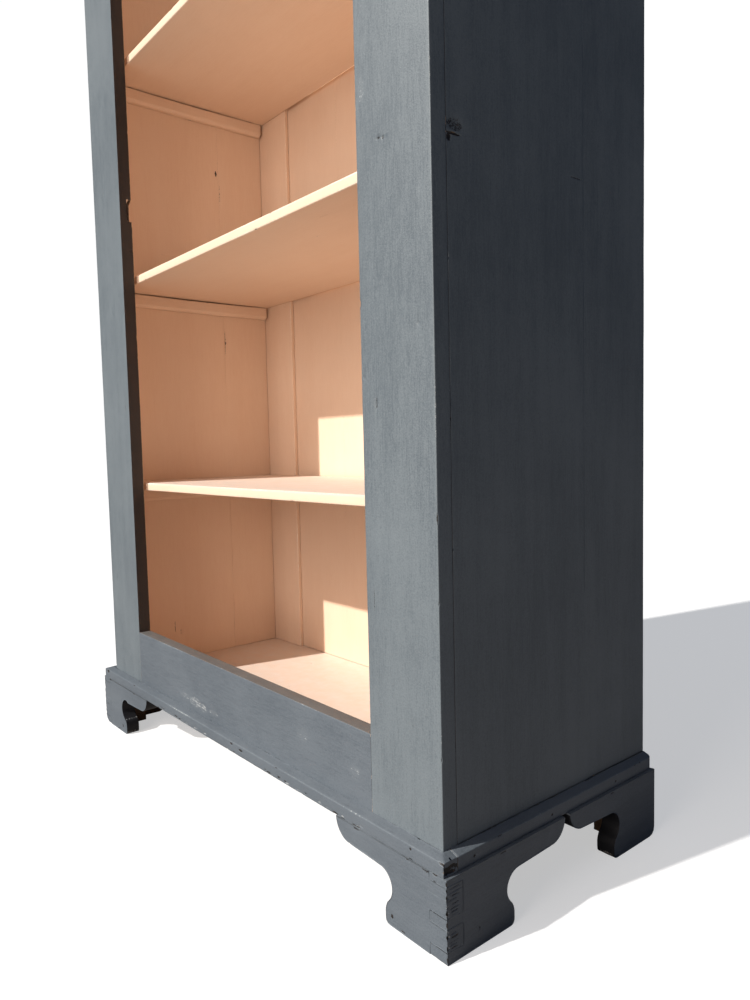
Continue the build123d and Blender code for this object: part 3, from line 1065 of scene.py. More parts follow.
def rectangle(low: Point2, high: Point2, ease: float = 1.1 * MM) -> list[Corner]:
    """Give the four corners of a plain section.

    Args:
        low: its lowest corner.
        high: its highest corner.
        ease: how far its arrises are eased.

    Returns:
        The corners in order.
    """
    return [Corner(low[0], low[1], ease), Corner(high[0], low[1], ease), Corner(high[0], high[1], ease),
            Corner(low[0], high[1], ease)]


def section_of(box: Box, along: int) -> tuple[Point2, Point2]:
    """Give a box's lowest and highest corner seen along an axis."""
    others = [axis for axis in range(3) if axis != along]
    return tuple(box[0][a] for a in others), tuple(box[1][a] for a in others)


def plain_board(node: str, grain: Grain, skins: dict[Side, Coat], **extra: object) -> Timber:
    """Make a square-edged board in the place of a CAD node.

    Args:
        node: the CAD node.
        grain: the way that its grain runs.
        skins: the coat on each painted side.
        extra: anything else that the timber takes, with ease and the tight sides, where it is pressed
            close to the next board.

    Returns:
        The timber, not built yet.
    """
    low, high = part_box(node)
    ease = extra.pop("ease", 1.1 * MM)
    for side in extra.pop("tight", ()):
        axis, way = side.value
        (high if way > 0 else low)[axis] += way * TIGHT
    corners = rectangle(*section_of((low, high), grain.value), ease)
    span = (low[grain.value], high[grain.value])
    return Timber(f"{node}_timber", node, corners, grain.value, span, grain, skins, **extra)


def hand_of(name: str) -> float:
    """Give -1 for a name on the left and 1 for one on the right."""
    return -1.0 if "left" in name else 1.0


def outer_side(sign: float) -> Side:
    """Give the side that looks away from the middle."""
    return Side.RIGHT if sign > 0 else Side.LEFT


def inner_side(sign: float) -> Side:
    """Give the side that looks to the middle."""
    return Side.LEFT if sign > 0 else Side.RIGHT


# ------------------------------------------------------------------ sub-assemblies
@dataclass
class Carcass:
    """The two sides, each of two boards, with the floor and the top."""

    floor_lip: float = -455 * MM
    rebate_depth: float = 34 * MM
    rebate_width: float = 12 * MM
    patch: Knock = Knock((0.460, -0.143, 0.863), (2.5 * MM, 15 * MM, 9 * MM), 1.2 * MM, bare=0.5)
    knot: Knock = Knock((0.460, -0.160, 0.586), (2 * MM, 3.5 * MM, 11 * MM), 1.5 * MM, bare=1.0)
    outside: float = 0.460
    left_wall: float = -0.432

    def marks(self, node: str) -> list[Knock]:
        """List the knots, cracks and filled holes that one side board carries.

        Args:
            node: the board's CAD node.

        Returns:
            Its marks.
        """
        wall, outside = self.left_wall, self.outside
        known = {
            "right_side_front_board": [
                self.patch,
                Knock((outside, -0.145, 0.8535), (2 * MM, 13 * MM, 1.6 * MM), 1.2 * MM, bare=1.0),
                Knock((outside, -0.152, 0.849), (2 * MM, 4 * MM, 5 * MM), 1.0 * MM, bare=0.8),
                self.knot,
                Knock((outside, -0.157, 0.566), (2 * MM, 2 * MM, 5 * MM), 0.8 * MM, bare=0.9),
                Knock((outside, 0.062, 0.851), (1 * MM, 14 * MM, 1.0 * MM), 0.4 * MM, bare=0.6),
                Knock((outside, 0.015, 1.21), (1 * MM, 2 * MM, 9 * MM), 0.5 * MM, bare=0.6),
            ],
            "left_side_front_board": [
                Knock((wall, 0.0695, 1.112), (1 * MM, 3 * MM, 7 * MM), 0.7 * MM, bare=0.75),
                Knock((wall, -0.062, 0.179), (1 * MM, 0.9 * MM, 16 * MM), 0.5 * MM, bare=0.6),
                Knock((wall, -0.050, 0.168), (1 * MM, 0.8 * MM, 9 * MM), 0.4 * MM, bare=0.5),
                Knock((wall, -0.040, 0.930), (0.8 * MM, 28 * MM, 0.7 * MM), 0.3 * MM, bare=0.4),
            ],
            "left_side_back_board": [
                Knock((wall, 0.0765, 1.075), (1 * MM, 0.9 * MM, 38 * MM), 0.5 * MM, bare=0.45),
                Knock((wall, 0.0770, 0.765), (1 * MM, 0.9 * MM, 30 * MM), 0.8 * MM, bare=0.8),
            ],
        }
        return known.get(node, [])

    def build(self) -> list[bpy.types.Object]:
        """Make all six boards.

        Returns:
            The pieces.
        """
        made = []
        for hand, sign in (("left", -1.0), ("right", 1.0)):
            # The side boards' front and back edges take the near-black coat: dark stain with painted shade.
            skins = {outer_side(sign): Coat.SLATE, inner_side(sign): Coat.SALMON, Side.FRONT: Coat.SOOT,
                     Side.BACK: Coat.SOOT}
            front, back = f"{hand}_side_front_board", f"{hand}_side_back_board"
            made.append(plain_board(front, Grain.UPRIGHT, skins, knocks=self.marks(front), ease=0.3 * MM,
                                    nicks=2, tight=(Side.FRONT, Side.BACK, Side.UNDER)).build())
            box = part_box(back)
            outer, inner = (box[1].x, box[0].x) if sign > 0 else (box[0].x, box[1].x)
            lip = inner + sign * self.rebate_width
            stop = box[1].y - self.rebate_depth
            seam = box[0].y - TIGHT
            corners = [Corner(outer, seam, 0.3 * MM), Corner(outer, box[1].y, 3 * MM),
                       Corner(lip, box[1].y, 0.8 * MM), Corner(lip, stop, 0.0), Corner(inner, stop, 0.5 * MM),
                       Corner(inner, seam, 0.3 * MM)]
            span = (box[0].z, box[1].z)
            skins = skins | {Side.BACK: Coat.PINE}
            made.append(Timber(f"{back}_timber", back, corners, 2, span, Grain.UPRIGHT, skins,
                               knocks=self.marks(back)).build())
        floor_skins = {Side.TOP: Coat.SALMON, Side.LEFT: Coat.SLATE}
        top_skins = {Side.UNDER: Coat.SALMON, Side.FRONT: Coat.SLATE, Side.LEFT: Coat.SLATE, Side.RIGHT: Coat.SLATE,
                     Side.TOP: Coat.SLATE}
        floor = plain_board("floor_board", Grain.ACROSS, floor_skins, slot="inside_paint",
                            knocks=self.floor_marks()).build()
        painted = [material.name.split()[0] for material in floor.data.materials].index(Coat.SLATE.value)
        for face in floor.data.polygons:
            if face.center.x < self.floor_lip and face.normal.z > -0.5:
                face.material_index = painted
        made.append(floor)
        made.append(plain_board("top_board", Grain.ACROSS, top_skins).build())
        return made

    def floor_marks(self) -> list[Knock]:
        """List the punched nail holes in the floor."""
        holes = [(-0.30, -0.02), (-0.12, 0.01), (0.06, -0.01), (0.24, 0.03), (-0.21, 0.12), (0.15, 0.13)]
        return [Knock((x, y, 0.113), (1.8 * MM, 1.8 * MM, 1 * MM), 0.7 * MM, bare=0.55) for x, y in holes]


@dataclass
class FaceFrame:
    """The stiles and rails planted on the carcass's front."""

    keeper: tuple[float, float, float, float] = (12 * MM, 8 * MM, 0.9525, 0.9885)
    tenon: tuple[float, float] = (8 * MM, 40 * MM)

    def stile_marks(self, node: str) -> list[Knock]:
        """List the knots, shakes and filler smears of a stile.

        Args:
            node: the stile's CAD node.

        Returns:
            Its marks.
        """
        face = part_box(node)[0].y
        if node == "right_stile":
            return [
                Knock((0.380, face, 0.867), (4.5 * MM, 1 * MM, 1.6 * MM), 0.9 * MM, bare=0.62),
                Knock((0.387, face, 0.8655), (2.2 * MM, 1 * MM, 2.8 * MM), 0.9 * MM, bare=0.6),
                Knock((0.347, face, 0.617), (3.4 * MM, 1 * MM, 4.2 * MM), 0.7 * MM, bare=0.3),
                Knock((0.3675, face, 0.588), (0.7 * MM, 1 * MM, 11 * MM), 0.8 * MM, bare=0.7),
                Knock((0.4370, face, 0.665), (2.6 * MM, 1 * MM, 3.4 * MM), 0.6 * MM, bare=0.2),
                Knock((0.355, face, 0.366), (0.8 * MM, 1 * MM, 20 * MM), 0.7 * MM, bare=0.5),
                Knock((0.415, face, 0.240), (0.8 * MM, 1 * MM, 14 * MM), 0.6 * MM, bare=0.4),
                Knock((0.3525, face, 0.927), (6.5 * MM, 1 * MM, 17 * MM), 0.1 * MM, bare=0.0, pale=0.5),
                Knock((0.412, face, 1.008), (1.6 * MM, 1 * MM, 5 * MM), 0.8 * MM, bare=0.6),
            ]
        return [
            Knock((-0.41, face, 1.02), (1.2 * MM, 1 * MM, 18 * MM), 0.5 * MM, bare=0.4),
            Knock((-0.35, face, 0.62), (2.2 * MM, 1 * MM, 7 * MM), 0.6 * MM, bare=0.4),
            Knock((-0.43, face, 0.30), (1.5 * MM, 1 * MM, 10 * MM), 0.5 * MM, bare=0.4),
        ]

    def cut_keeper(self, points: np.ndarray, low: float, high: float) -> np.ndarray:
        """Press the lock keeper's notch into the left stile's inner back arris.

        Args:
            points: the stile's points.
            low: the stile's foot; not used.
            high: its head; not used.

        Returns:
            The points with the notch in them.
        """
        width, depth, foot, head = self.keeper
        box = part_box("left_stile")
        edge, back = box[1].x, box[1].y
        points = points.copy()
        inside = (points[:, 2] > foot) & (points[:, 2] < head)
        over_x, over_y = points[:, 0] - (edge - width), points[:, 1] - (back - depth)
        cut = inside & (over_x > 0) & (over_y > 0)
        to_back = cut & (over_x / width < over_y / depth)
        to_edge = cut & ~to_back
        points[to_back, 1] = back - depth
        points[to_edge, 0] = edge - width
        return points

    def build(self) -> list[bpy.types.Object]:
        """Make the two stiles and the two rails.

        Returns:
            The pieces.
        """
        made = []
        for node in ("left_stile", "right_stile"):
            sign = hand_of(node)
            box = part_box(node)
            # The stile's inner edge takes the near-black coat: dark stain with painted shade.
            skins = {Side.FRONT: Coat.SLATE, outer_side(sign): Coat.SLATE, inner_side(sign): Coat.SOOT,
                     Side.BACK: Coat.SALMON}
            left, right = (1.3, 0.6) if sign < 0 else (0.6, 1.3)
            corners = [Corner(box[0].x, box[0].y, left * MM), Corner(box[1].x, box[0].y, right * MM),
                       Corner(box[1].x, box[1].y, 0.9 * MM), Corner(box[0].x, box[1].y, 0.9 * MM)]
            knocks = self.stile_marks(node)
            extra: dict[str, object] = {}
            if node == "left_stile":
                _, _, foot, head = self.keeper
                middle = (foot + head) / 2
                knocks.append(Knock((box[1].x, box[1].y, middle), (18 * MM, 14 * MM, 21 * MM), 0.0, bare=1.0))
                knocks.append(Knock((box[1].x, box[1].y, 0.902), (5 * MM, 9 * MM, 1.0 * MM), 0.8 * MM, bare=0.8))
                extra = {"shaped": self.cut_keeper}
            made.append(Timber(f"{node}_timber", node, corners, 2, (box[0].z - SUNK, box[1].z), Grain.UPRIGHT,
                               skins, knocks=knocks, nicks=9, step=16 * MM, end_ease=0.3 * MM, **extra).build())
        # The top rail's underside takes the near-black coat: painted shade under the rail.
        for node, bare_side, bare_coat in (("bottom_rail", Side.TOP, Coat.DUSKY), ("top_rail", Side.UNDER, Coat.SOOT)):
            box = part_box(node)
            _, reach = self.tenon
            span = (box[0].x + reach - TIGHT, box[1].x - reach + TIGHT)
            foot = box[0].z - (SUNK if node == "bottom_rail" else 0.0)
            corners = rectangle((box[0].y, foot), (box[1].y, box[1].z), 1.0 * MM)
            skins = {Side.FRONT: Coat.SLATE, bare_side: bare_coat, Side.BACK: Coat.SALMON}
            made.append(Timber(f"{node}_timber", node, corners, 0, span, Grain.ACROSS, skins, nicks=6,
                               end_ease=0.25 * MM,
                               knocks=self.rail_marks() if node == "bottom_rail" else []).build())
        return made

    def rail_marks(self) -> list[Knock]:
        """List the rubbed places on the bottom rail's front."""
        spots = [(-0.150, 0.1325, 24, 7, 0.46), (-0.112, 0.1295, 30, 11, 0.55), (-0.084, 0.1265, 16, 9, 0.55),
                 (-0.050, 0.1280, 22, 6, 0.48), (0.20, 0.165, 18, 12, 0.34), (0.31, 0.150, 14, 15, 0.34)]
        return [Knock((x, -0.1775, z), (long * MM, 1 * MM, high * MM), 0.1 * MM, bare=0.0, pale=pale)
                for x, z, long, high, pale in spots]


@dataclass
class Base:
    """The base moulding and the shaped bracket feet with the blocks behind them."""

    ledge_drop: float = 4.4 * MM
    ledge_depth: float = 12 * MM
    foot_height: float = 92 * MM
    pad_round: float = 6 * MM
    lobe: float = 16 * MM
    rear_shape: Point3 = (97 * MM, 85 * MM, 106.5 * MM)
    side_shape: Point3 = (107 * MM, 95 * MM, 115 * MM)
    left_shape: Point3 = (108 * MM, 88 * MM, 119 * MM)
    right_shape: Point3 = (99 * MM, 87 * MM, 107.5 * MM)
    toe_round: float = 20 * MM
    finger_zone: float = 30 * MM
    fingers: tuple[Point2, ...] = ((14 * MM, 38 * MM), (50 * MM, 84 * MM))
    ovolo: float = 26 * MM

    def outline(self, wing: float, shape: Point3, worn_toe: float = 1.2 * MM) -> list[Corner]:
        """Draw a bracket: u runs inwards from its outer corner and v runs up.

        Args:
            wing: the bracket's length.
            shape: how far in its pad ends, its neck bites and its cusp stands.
            worn_toe: how far the outer bottom corner is worn round.

        Returns:
            The corners of its outline.
        """
        width, neck, cusp = shape
        top = self.foot_height + TIGHT
        points = [Corner(0.0, 0.0, worn_toe), Corner(width, 0.0, self.pad_round), Corner(width, self.lobe, -1.0)]
        bend = (width - 4.5 * MM, 27.8 * MM)
        points += curve((width, self.lobe), (width - 1.4 * MM, 21.9 * MM), bend, 5)
        points += curve(bend, (neck, 43.5 * MM), (cusp, 64 * MM), 12)
        points += [Corner(cusp, 64 * MM, 0.7 * MM)]
        start = (wing - self.ovolo, top - self.ovolo)
        middle = (wing - self.ovolo * 0.2929, top - self.ovolo * 0.7071)
        points += [Corner(*start, 0.5 * MM)]
        points += curve(start, middle, (wing, top), 9)
        points += [Corner(wing, top, 0.5 * MM), Corner(0.0, top, 0.5 * MM)]
        return points

    def build(self) -> list[bpy.types.Object]:
        """Make the mouldings, the brackets, the braces and the blocks.

        Returns:
            The pieces.
        """
        made = [self.front_moulding(), self.side_moulding("left"), self.side_moulding("right")]
        for hand in ("left", "right"):
            made += [self.front_bracket(hand), self.side_bracket(hand, "front"), self.side_bracket(hand, "rear"),
                     self.brace(hand)]
            for end in ("front", "rear"):
                made.append(plain_board(f"corner_block_{end}_{hand}", Grain.UPRIGHT, {}, slot="bare_pine").build())
        made += self.glue_blocks()
        return made

    def front_moulding(self) -> bpy.types.Object:
        """Make the front moulding, with its sloped ledge returned at both ends.

        Returns:
            The piece.
        """
        node = "base_moulding_front"
        low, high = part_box(node)
        drop, depth = self.ledge_drop, self.ledge_depth
        ledge = high.z - drop
        corners = [Corner(low.y, low.z, 0.8 * MM), Corner(low.y, ledge, 1.5 * MM),
                   Corner(low.y + depth, high.z, 0.3 * MM), Corner(high.y, high.z, 0.3 * MM),
                   Corner(high.y, low.z, 0.8 * MM)]

        def hip(points: np.ndarray, start: float, end: float) -> np.ndarray:
            """Slope the ledge down to both ends.

            Args:
                points: the moulding's points.
                start: its left end.
                end: its right end.

            Returns:
                The points with the ledge returned.
            """
            points = points.copy()
            gap = np.minimum(points[:, 0] - start, end - points[:, 0])
            roof = ledge + drop * np.clip(gap / depth, 0.0, 1.0)
            slope = ledge + drop * np.clip((points[:, 1] - low.y) / depth, 0.0, 1.0)
            base = ledge - 6 * MM
            squeeze = np.minimum(1.0, (roof - base) / (slope - base))
            over = points[:, 2] - base
            points[:, 2] = np.where(over > 0, base + over * squeeze, points[:, 2])
            return points

        face = low.y
        spots = [(0.026, 0.1045, 5, 2.0, 1.0), (0.053, 0.1020, 7, 2.4, 1.2), (0.284, 0.0935, 8, 2.2, 1.4),
                 (0.322, 0.0925, 6, 2.0, 1.2), (0.300, 0.0925, 4, 1.6, 1.0), (-0.22, 0.0930, 5, 1.6, 1.0),
                 (0.421, 0.1040, 2, 2.0, 0.9), (0.150, 0.1075, 4, 1.3, 0.8), (-0.34, 0.1070, 6, 1.4, 0.7)]
        knocks = [Knock((x, face, z), (long * MM, 1.6 * MM, high_ * MM), deep * MM, bare=0.75)
                  for x, z, long, high_, deep in spots]
        dice = random.Random(41)
        for _ in range(26):
            at = (dice.uniform(-0.25, 0.44), face, dice.uniform(0.0925, 0.0965))
            worn = dice.random() < 0.4
            size = (dice.uniform(2.0, 8.0) * MM, 1.4 * MM, dice.uniform(1.0, 2.4) * MM)
            bare, pale = (0.0, 0.6) if worn else (0.62, 0.0)
            knocks.append(Knock(at, size, dice.uniform(0.3, 0.9) * MM, bare=bare, pale=pale))
        end = high.x
        knocks += [
            Knock((end, face + 6 * MM, 0.099), (4 * MM, 8 * MM, 5.5 * MM), 2.2 * MM, bare=1.0),
            Knock((end, face + 14 * MM, 0.102), (3 * MM, 6 * MM, 4 * MM), 1.6 * MM, bare=1.0),
            Knock((end, face + 12 * MM, 0.0955), (3 * MM, 9 * MM, 2.8 * MM), 1.4 * MM, bare=0.9),
            Knock((end, face + 20 * MM, 0.100), (2 * MM, 2.0 * MM, 5 * MM), 1.2 * MM, bare=0.8),
            Knock((end - 2 * MM, face, 0.1075), (7 * MM, 3 * MM, 2.4 * MM), 1.5 * MM, bare=0.9),
            Knock((-end, face, 0.105), (6 * MM, 3 * MM, 4 * MM), 1.8 * MM, bare=0.8),
        ]
        skins = {side: Coat.SLATE for side in (Side.FRONT, Side.TOP, Side.LEFT, Side.RIGHT)}
        return Timber(f"{node}_timber", node, corners, 0, (low.x, high.x), Grain.ACROSS, skins, knocks=knocks,
                      nicks=4, step=9 * MM, cap_step=4 * MM, uneven=0.4 * MM, shaped=hip).build()

    def side_moulding(self, hand: str) -> bpy.types.Object:
        """Make a side moulding, butted behind the front one.

        Args:
            hand: left or right.

        Returns:
            The piece.
        """
        node = f"base_moulding_{hand}"
        low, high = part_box(node)
        sign = hand_of(hand)
        outer, inner = (high.x, low.x) if sign > 0 else (low.x, high.x)
        ledge = high.z - self.ledge_drop
        corners = [Corner(outer, low.z, 0.9 * MM), Corner(outer, ledge, 1.5 * MM),
                   Corner(outer - sign * self.ledge_depth, high.z, 0.3 * MM), Corner(inner, high.z, 0.3 * MM),
                   Corner(inner, low.z, 1.0 * MM)]

        def rounded_heel(points: np.ndarray, start: float, end: float) -> np.ndarray:
            """Wear the outer rear corner round."""
            return worn_round(points, ((0, outer, sign), (1, end, 1.0)), 8 * MM)

        knocks = [Knock((outer, y, 0.1000), (1 * MM, 2.2 * MM, 2 * MM), 0.8 * MM, bare=0.8)
                  for y in (-0.142, -0.008, 0.125)]
        knocks += [Knock((outer, y, z), (1.2 * MM, long * MM, 1.5 * MM), 0.8 * MM, bare=0.6)
                   for y, z, long in ((-0.10, 0.108, 6), (0.05, 0.093, 8), (0.17, 0.1075, 5), (-0.06, 0.0925, 5))]
        skins = {side: Coat.SLATE for side in (outer_side(sign), Side.TOP, Side.BACK)}
        return Timber(f"{node}_timber", node, corners, 1, (low.y, high.y), Grain.BACKWARDS, skins, knocks=knocks,
                      nicks=4, step=9 * MM, cap_step=4 * MM, uneven=0.4 * MM, shaped=rounded_heel).build()

    def front_bracket(self, hand: str) -> bpy.types.Object:
        """Make a front bracket, whose fingers pass through the corner.

        Args:
            hand: left or right.

        Returns:
            The piece.
        """
        node = f"front_bracket_{hand}"
        low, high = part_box(node)
        sign = hand_of(hand)
        outer = high.x if sign > 0 else low.x
        shape = self.outline(high.x - low.x, self.right_shape if sign > 0 else self.left_shape)
        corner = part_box(f"side_bracket_front_{hand}")
        thick = corner[1].x - corner[0].x
        comb = [Corner(thick, self.foot_height + TIGHT, 0.4 * MM)]
        for foot, head in reversed(self.fingers):
            head, foot = head + TIGHT, foot - TIGHT
            comb += [Corner(thick, head, 0.0), Corner(0.0, head, 0.12 * MM), Corner(0.0, foot, 0.12 * MM),
                     Corner(thick, foot, 0.0)]
        comb += [Corner(thick, 0.0, 0.4 * MM)]
        corners = [Corner(outer - sign * c.u, c.v, c.ease) for c in shape[1:-1] + comb]
        spots = [(88, 12, 3, 4), (30, 90, 8, 1.6), (60, 90.5, 5, 1.5), (150, 90.5, 9, 1.6), (70, 3, 6, 2)]
        knocks = [Knock((outer - sign * u * MM, low.y, v * MM), (w * MM, 1.5 * MM, t * MM), 0.9 * MM, bare=0.7)
                  for u, v, w, t in spots]
        edge = [Knock((outer, low.y, v * MM), (2.2 * MM, 2.2 * MM, t * MM), 1.0 * MM, bare=0.7)
                for v, t in ((18, 4), (31, 3), (57, 4), (72, 5), (81, 2))]
        if sign < 0:
            edge += [Knock((outer + 104 * MM, low.y + y * MM, 28.5 * MM), (5 * MM, 5 * MM, 1.6 * MM), 0.3 * MM,
                           bare=0.0, pale=1.0) for y in (3, 8, 13, 18, 22)]
            edge.append(Knock((outer + 106 * MM, low.y + 12 * MM, 62 * MM), (22 * MM, 13 * MM, 9 * MM), 0.2 * MM))
        dice = random.Random(7 if sign > 0 else 8)
        for foot, head in self.fingers:
            level = foot + 3 * MM
            while level < head - 2 * MM:
                at = (outer, low.y + dice.uniform(9, 14) * MM, level)
                size = (1.5 * MM, dice.uniform(6, 12) * MM, dice.uniform(0.8, 1.6) * MM)
                edge.append(Knock(at, size, dice.uniform(0.4, 1.0) * MM, bare=dice.uniform(0.4, 0.6)))
                level += dice.uniform(3.0, 5.0) * MM
        for _ in range(16):
            at = (outer, low.y + dice.uniform(0.0, 2.5) * MM, dice.uniform(8, 90) * MM)
            size = (3 * MM, 3 * MM, dice.uniform(1.2, 3.5) * MM)
            edge.append(Knock(at, size, dice.uniform(0.3, 1.2) * MM, bare=0.0, pale=dice.uniform(0.5, 0.85)))
        return self.bracket(node, corners, 1, (low.y, high.y), Grain.ACROSS, (Side.FRONT, outer_side(sign)),
                            knocks + edge)

    def side_bracket(self, hand: str, end: str) -> bpy.types.Object:
        """Make one of the brackets under a side.

        Args:
            hand: left or right.
            end: front or rear.

        Returns:
            The piece.
        """
        node = f"side_bracket_{end}_{hand}"
        low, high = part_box(node)
        sign = hand_of(hand)
        outer = high.x if sign > 0 else low.x
        inner = low.x if sign > 0 else high.x
        if end == "front":
            shape = self.outline(high.y - low.y, self.side_shape)
            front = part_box(f"front_bracket_{hand}")
            thick = front[1].y - front[0].y
            comb = []
            for foot, head in reversed(self.fingers):
                head, foot = head - TIGHT, foot + TIGHT
                comb += [Corner(0.0, head, 0.12 * MM), Corner(thick, head, 0.0), Corner(thick, foot, 0.0),
                         Corner(0.0, foot, 0.12 * MM)]
            corners = [Corner(low.y + c.u, c.v, c.ease) for c in shape + comb]
        else:
            shape = self.outline(high.y - low.y, self.rear_shape, worn_toe=11 * MM)
            corners = [Corner(high.y - c.u, c.v, c.ease) for c in shape]
        spots = [(low.y + 0.09, 90.5, 8, 1.6), (low.y + 0.05, 20, 1.5, 3), (high.y - 0.09, 3, 5, 2)]
        knocks = [Knock((outer, y, z * MM), (1.5 * MM, w * MM, t * MM), 0.8 * MM, bare=0.7) for y, z, w, t in spots]
        if end == "front":
            knocks += [Knock((outer, low.y, v * MM), (2.2 * MM, 2.2 * MM, t * MM), 1.0 * MM, bare=0.7)
                       for v, t in ((6, 4), (44, 4), (88, 3))]
        span = (min(outer, inner), max(outer, inner))
        seen = (outer_side(sign), Side.FRONT if end == "front" else Side.BACK)
        return self.bracket(node, corners, 0, span, Grain.BACKWARDS, seen, knocks)

    def bracket(self, node: str, corners: list[Corner], along: int, span: Point2, grain: Grain,
                faces: tuple[Side, ...], knocks: list[Knock]) -> bpy.types.Object:
        """Build a bracket from its outline.

        Args:
            node: its CAD node.
            corners: its outline.
            along: the axis that its thickness runs along.
            span: from one face to the other.
            grain: the way that its grain runs.
            faces: the sides that are painted as the front is.
            knocks: its chips.

        Returns:
            The piece.
        """
        skins = {side: Coat.SLATE for side in faces}
        hidden = {0: (Side.LEFT, Side.RIGHT), 1: (Side.FRONT, Side.BACK)}[along]
        # Every other face of the outline, the sawn curves and the pads, takes the near-black coat: painted shade over
        # the dark sawn wood.
        for side in Side:
            if side not in skins and side not in hidden:
                skins[side] = Coat.PITCH

        def worn_toe(points: np.ndarray, start: float, end: float) -> np.ndarray:
            """Wear the outer bottom corner of the left front foot round."""
            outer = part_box(node)[0].x
            return worn_round(points, ((0, outer, -1.0), (2, 0.0, -1.0)), self.toe_round)

        piece = Timber(f"{node}_timber", node, corners, along, span, grain, skins, knocks=knocks, nicks=5,
                       step=6 * MM, cap_step=8 * MM, uneven=0.12 * MM, end_ease=0.25 * MM,
                       shaped=worn_toe if "front" in node and "left" in node else None).build()
        self.paint_joints(piece, node)
        return piece

    def paint_joints(self, piece: bpy.types.Object, node: str) -> None:
        """Carry the paint over a bracket's top edge and over the flanks of its fingers.

        Args:
            piece: the bracket.
            node: its CAD node.
        """
        names = [material.name for material in piece.data.materials]
        painted = next(index for index, name in enumerate(names) if name.startswith(Coat.SLATE.value))
        low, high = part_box(node)
        reach = max(abs(low.x), abs(high.x)) - self.finger_zone
        for face in piece.data.polygons:
            middle = face.center
            fingered = "front" in node and abs(middle.x) > reach and middle.y < low.y + self.finger_zone
            if middle.z > self.foot_height - 1.5 * MM or (fingered and middle.z > 2 * MM):
                face.material_index = painted

    def brace(self, hand: str) -> bpy.types.Object:
        """Make the rough brace behind a rear foot.

        Args:
            hand: left or right.

        Returns:
            The piece.
        """
        node = f"rear_brace_{hand}"
        low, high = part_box(node)
        sign = hand_of(hand)
        outer, inner = (high.x, low.x) if sign > 0 else (low.x, high.x)
        foot = outer - sign * 40 * MM
        corners = [Corner(outer, low.z), Corner(foot, low.z), Corner(inner, 70 * MM), Corner(inner, high.z),
                   Corner(outer, high.z)]
        return Timber(f"{node}_timber", node, corners, 1, (low.y, high.y), Grain.ACROSS, {}, slot="bare_pine",
                      step=9 * MM, cap_step=12 * MM, uneven=0.8 * MM).build()

    def glue_blocks(self) -> list[bpy.types.Object]:
        """Make the six small blocks glued behind the wings.

        Returns:
            The pieces.
        """
        node = "glue_blocks"
        blocks = []
        for number, (low, high) in enumerate(loose_boxes(node)):
            along = 0 if high.x - low.x > high.y - low.y else 1
            grain = Grain(along)
            corners = rectangle(*section_of((low, high), along), 1.2 * MM)
            blocks.append(Timber(f"glue_block_{number}_timber", node, corners, along, (low[along], high[along]), grain,
                                 {}, slot="bare_pine", step=8 * MM, cap_step=7 * MM).build())
        return blocks


def worn_round(points: np.ndarray, sides: tuple, reach: float) -> np.ndarray:
    """Wear the corner between two flat sides round.

    Args:
        points: the piece's points.
        sides: the two sides, each as its axis, its place and which way is outwards.
        reach: the radius of the round.

    Returns:
        The points with the corner worn off.
    """
    points = points.copy()
    over = [way * (points[:, axis] - place) + reach for axis, place, way in sides]
    away = np.hypot(*over)
    past = (over[0] > 0) & (over[1] > 0) & (away > reach)
    shrink = reach / np.maximum(away, 1e-9)
    for (axis, place, way), beyond in zip(sides, over):
        points[past, axis] = (place + way * (beyond * shrink - reach))[past]
    return points


def curve(start: Point2, middle: Point2, end: Point2, parts: int) -> list[Corner]:
    """Give points on the arc through three places, leaving out both ends.

    Args:
        start: where it starts.
        middle: a place on the way.
        end: where it ends.
        parts: how many parts it is divided into.

    Returns:
        The points between the ends.
    """
    (ax, ay), (bx, by), (cx, cy) = start, middle, end
    turn = 2 * (ax * (by - cy) + bx * (cy - ay) + cx * (ay - by))
    sa, sb, sc = ax * ax + ay * ay, bx * bx + by * by, cx * cx + cy * cy
    x = (sa * (by - cy) + sb * (cy - ay) + sc * (ay - by)) / turn
    y = (sa * (cx - bx) + sb * (ax - cx) + sc * (bx - ax)) / turn
    radius = math.hypot(ax - x, ay - y)
    first, mid, last = (math.atan2(py - y, px - x) for px, py in (start, middle, end))
    sweep = (last - first) % math.tau
    if (mid - first) % math.tau > sweep:
        sweep -= math.tau
    angles = [first + sweep * index / parts for index in range(1, parts)]
    return [Corner(x + radius * math.cos(a), y + radius * math.sin(a), 0.0) for a in angles]


def loose_boxes(node: str) -> list[Box]:
    """Find the box of each separate solid in a CAD node.

    Args:
        node: the CAD node.

    Returns:
        Their boxes, from the lowest and leftmost on.
    """
    work = bmesh.new()
    work.from_mesh(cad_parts[node].data)
    bmesh.ops.remove_doubles(work, verts=work.verts, dist=0.01 * MM)
    left, boxes = set(work.verts), []
    while left:
        stack, part = [left.pop()], []
        while stack:
            spot = stack.pop()
            part.append(spot.co.copy())
            for edge in spot.link_edges:
                other = edge.other_vert(spot)
                if other in left:
                    left.discard(other)
                    stack.append(other)
        low = Vector([min(p[a] for p in part) for a in range(3)])
        high = Vector([max(p[a] for p in part) for a in range(3)])
        boxes.append((low, high))
    work.free()
    return sorted(boxes, key=lambda box: tuple(round(c, 4) for c in (box[0].z, box[0].x, box[0].y)))


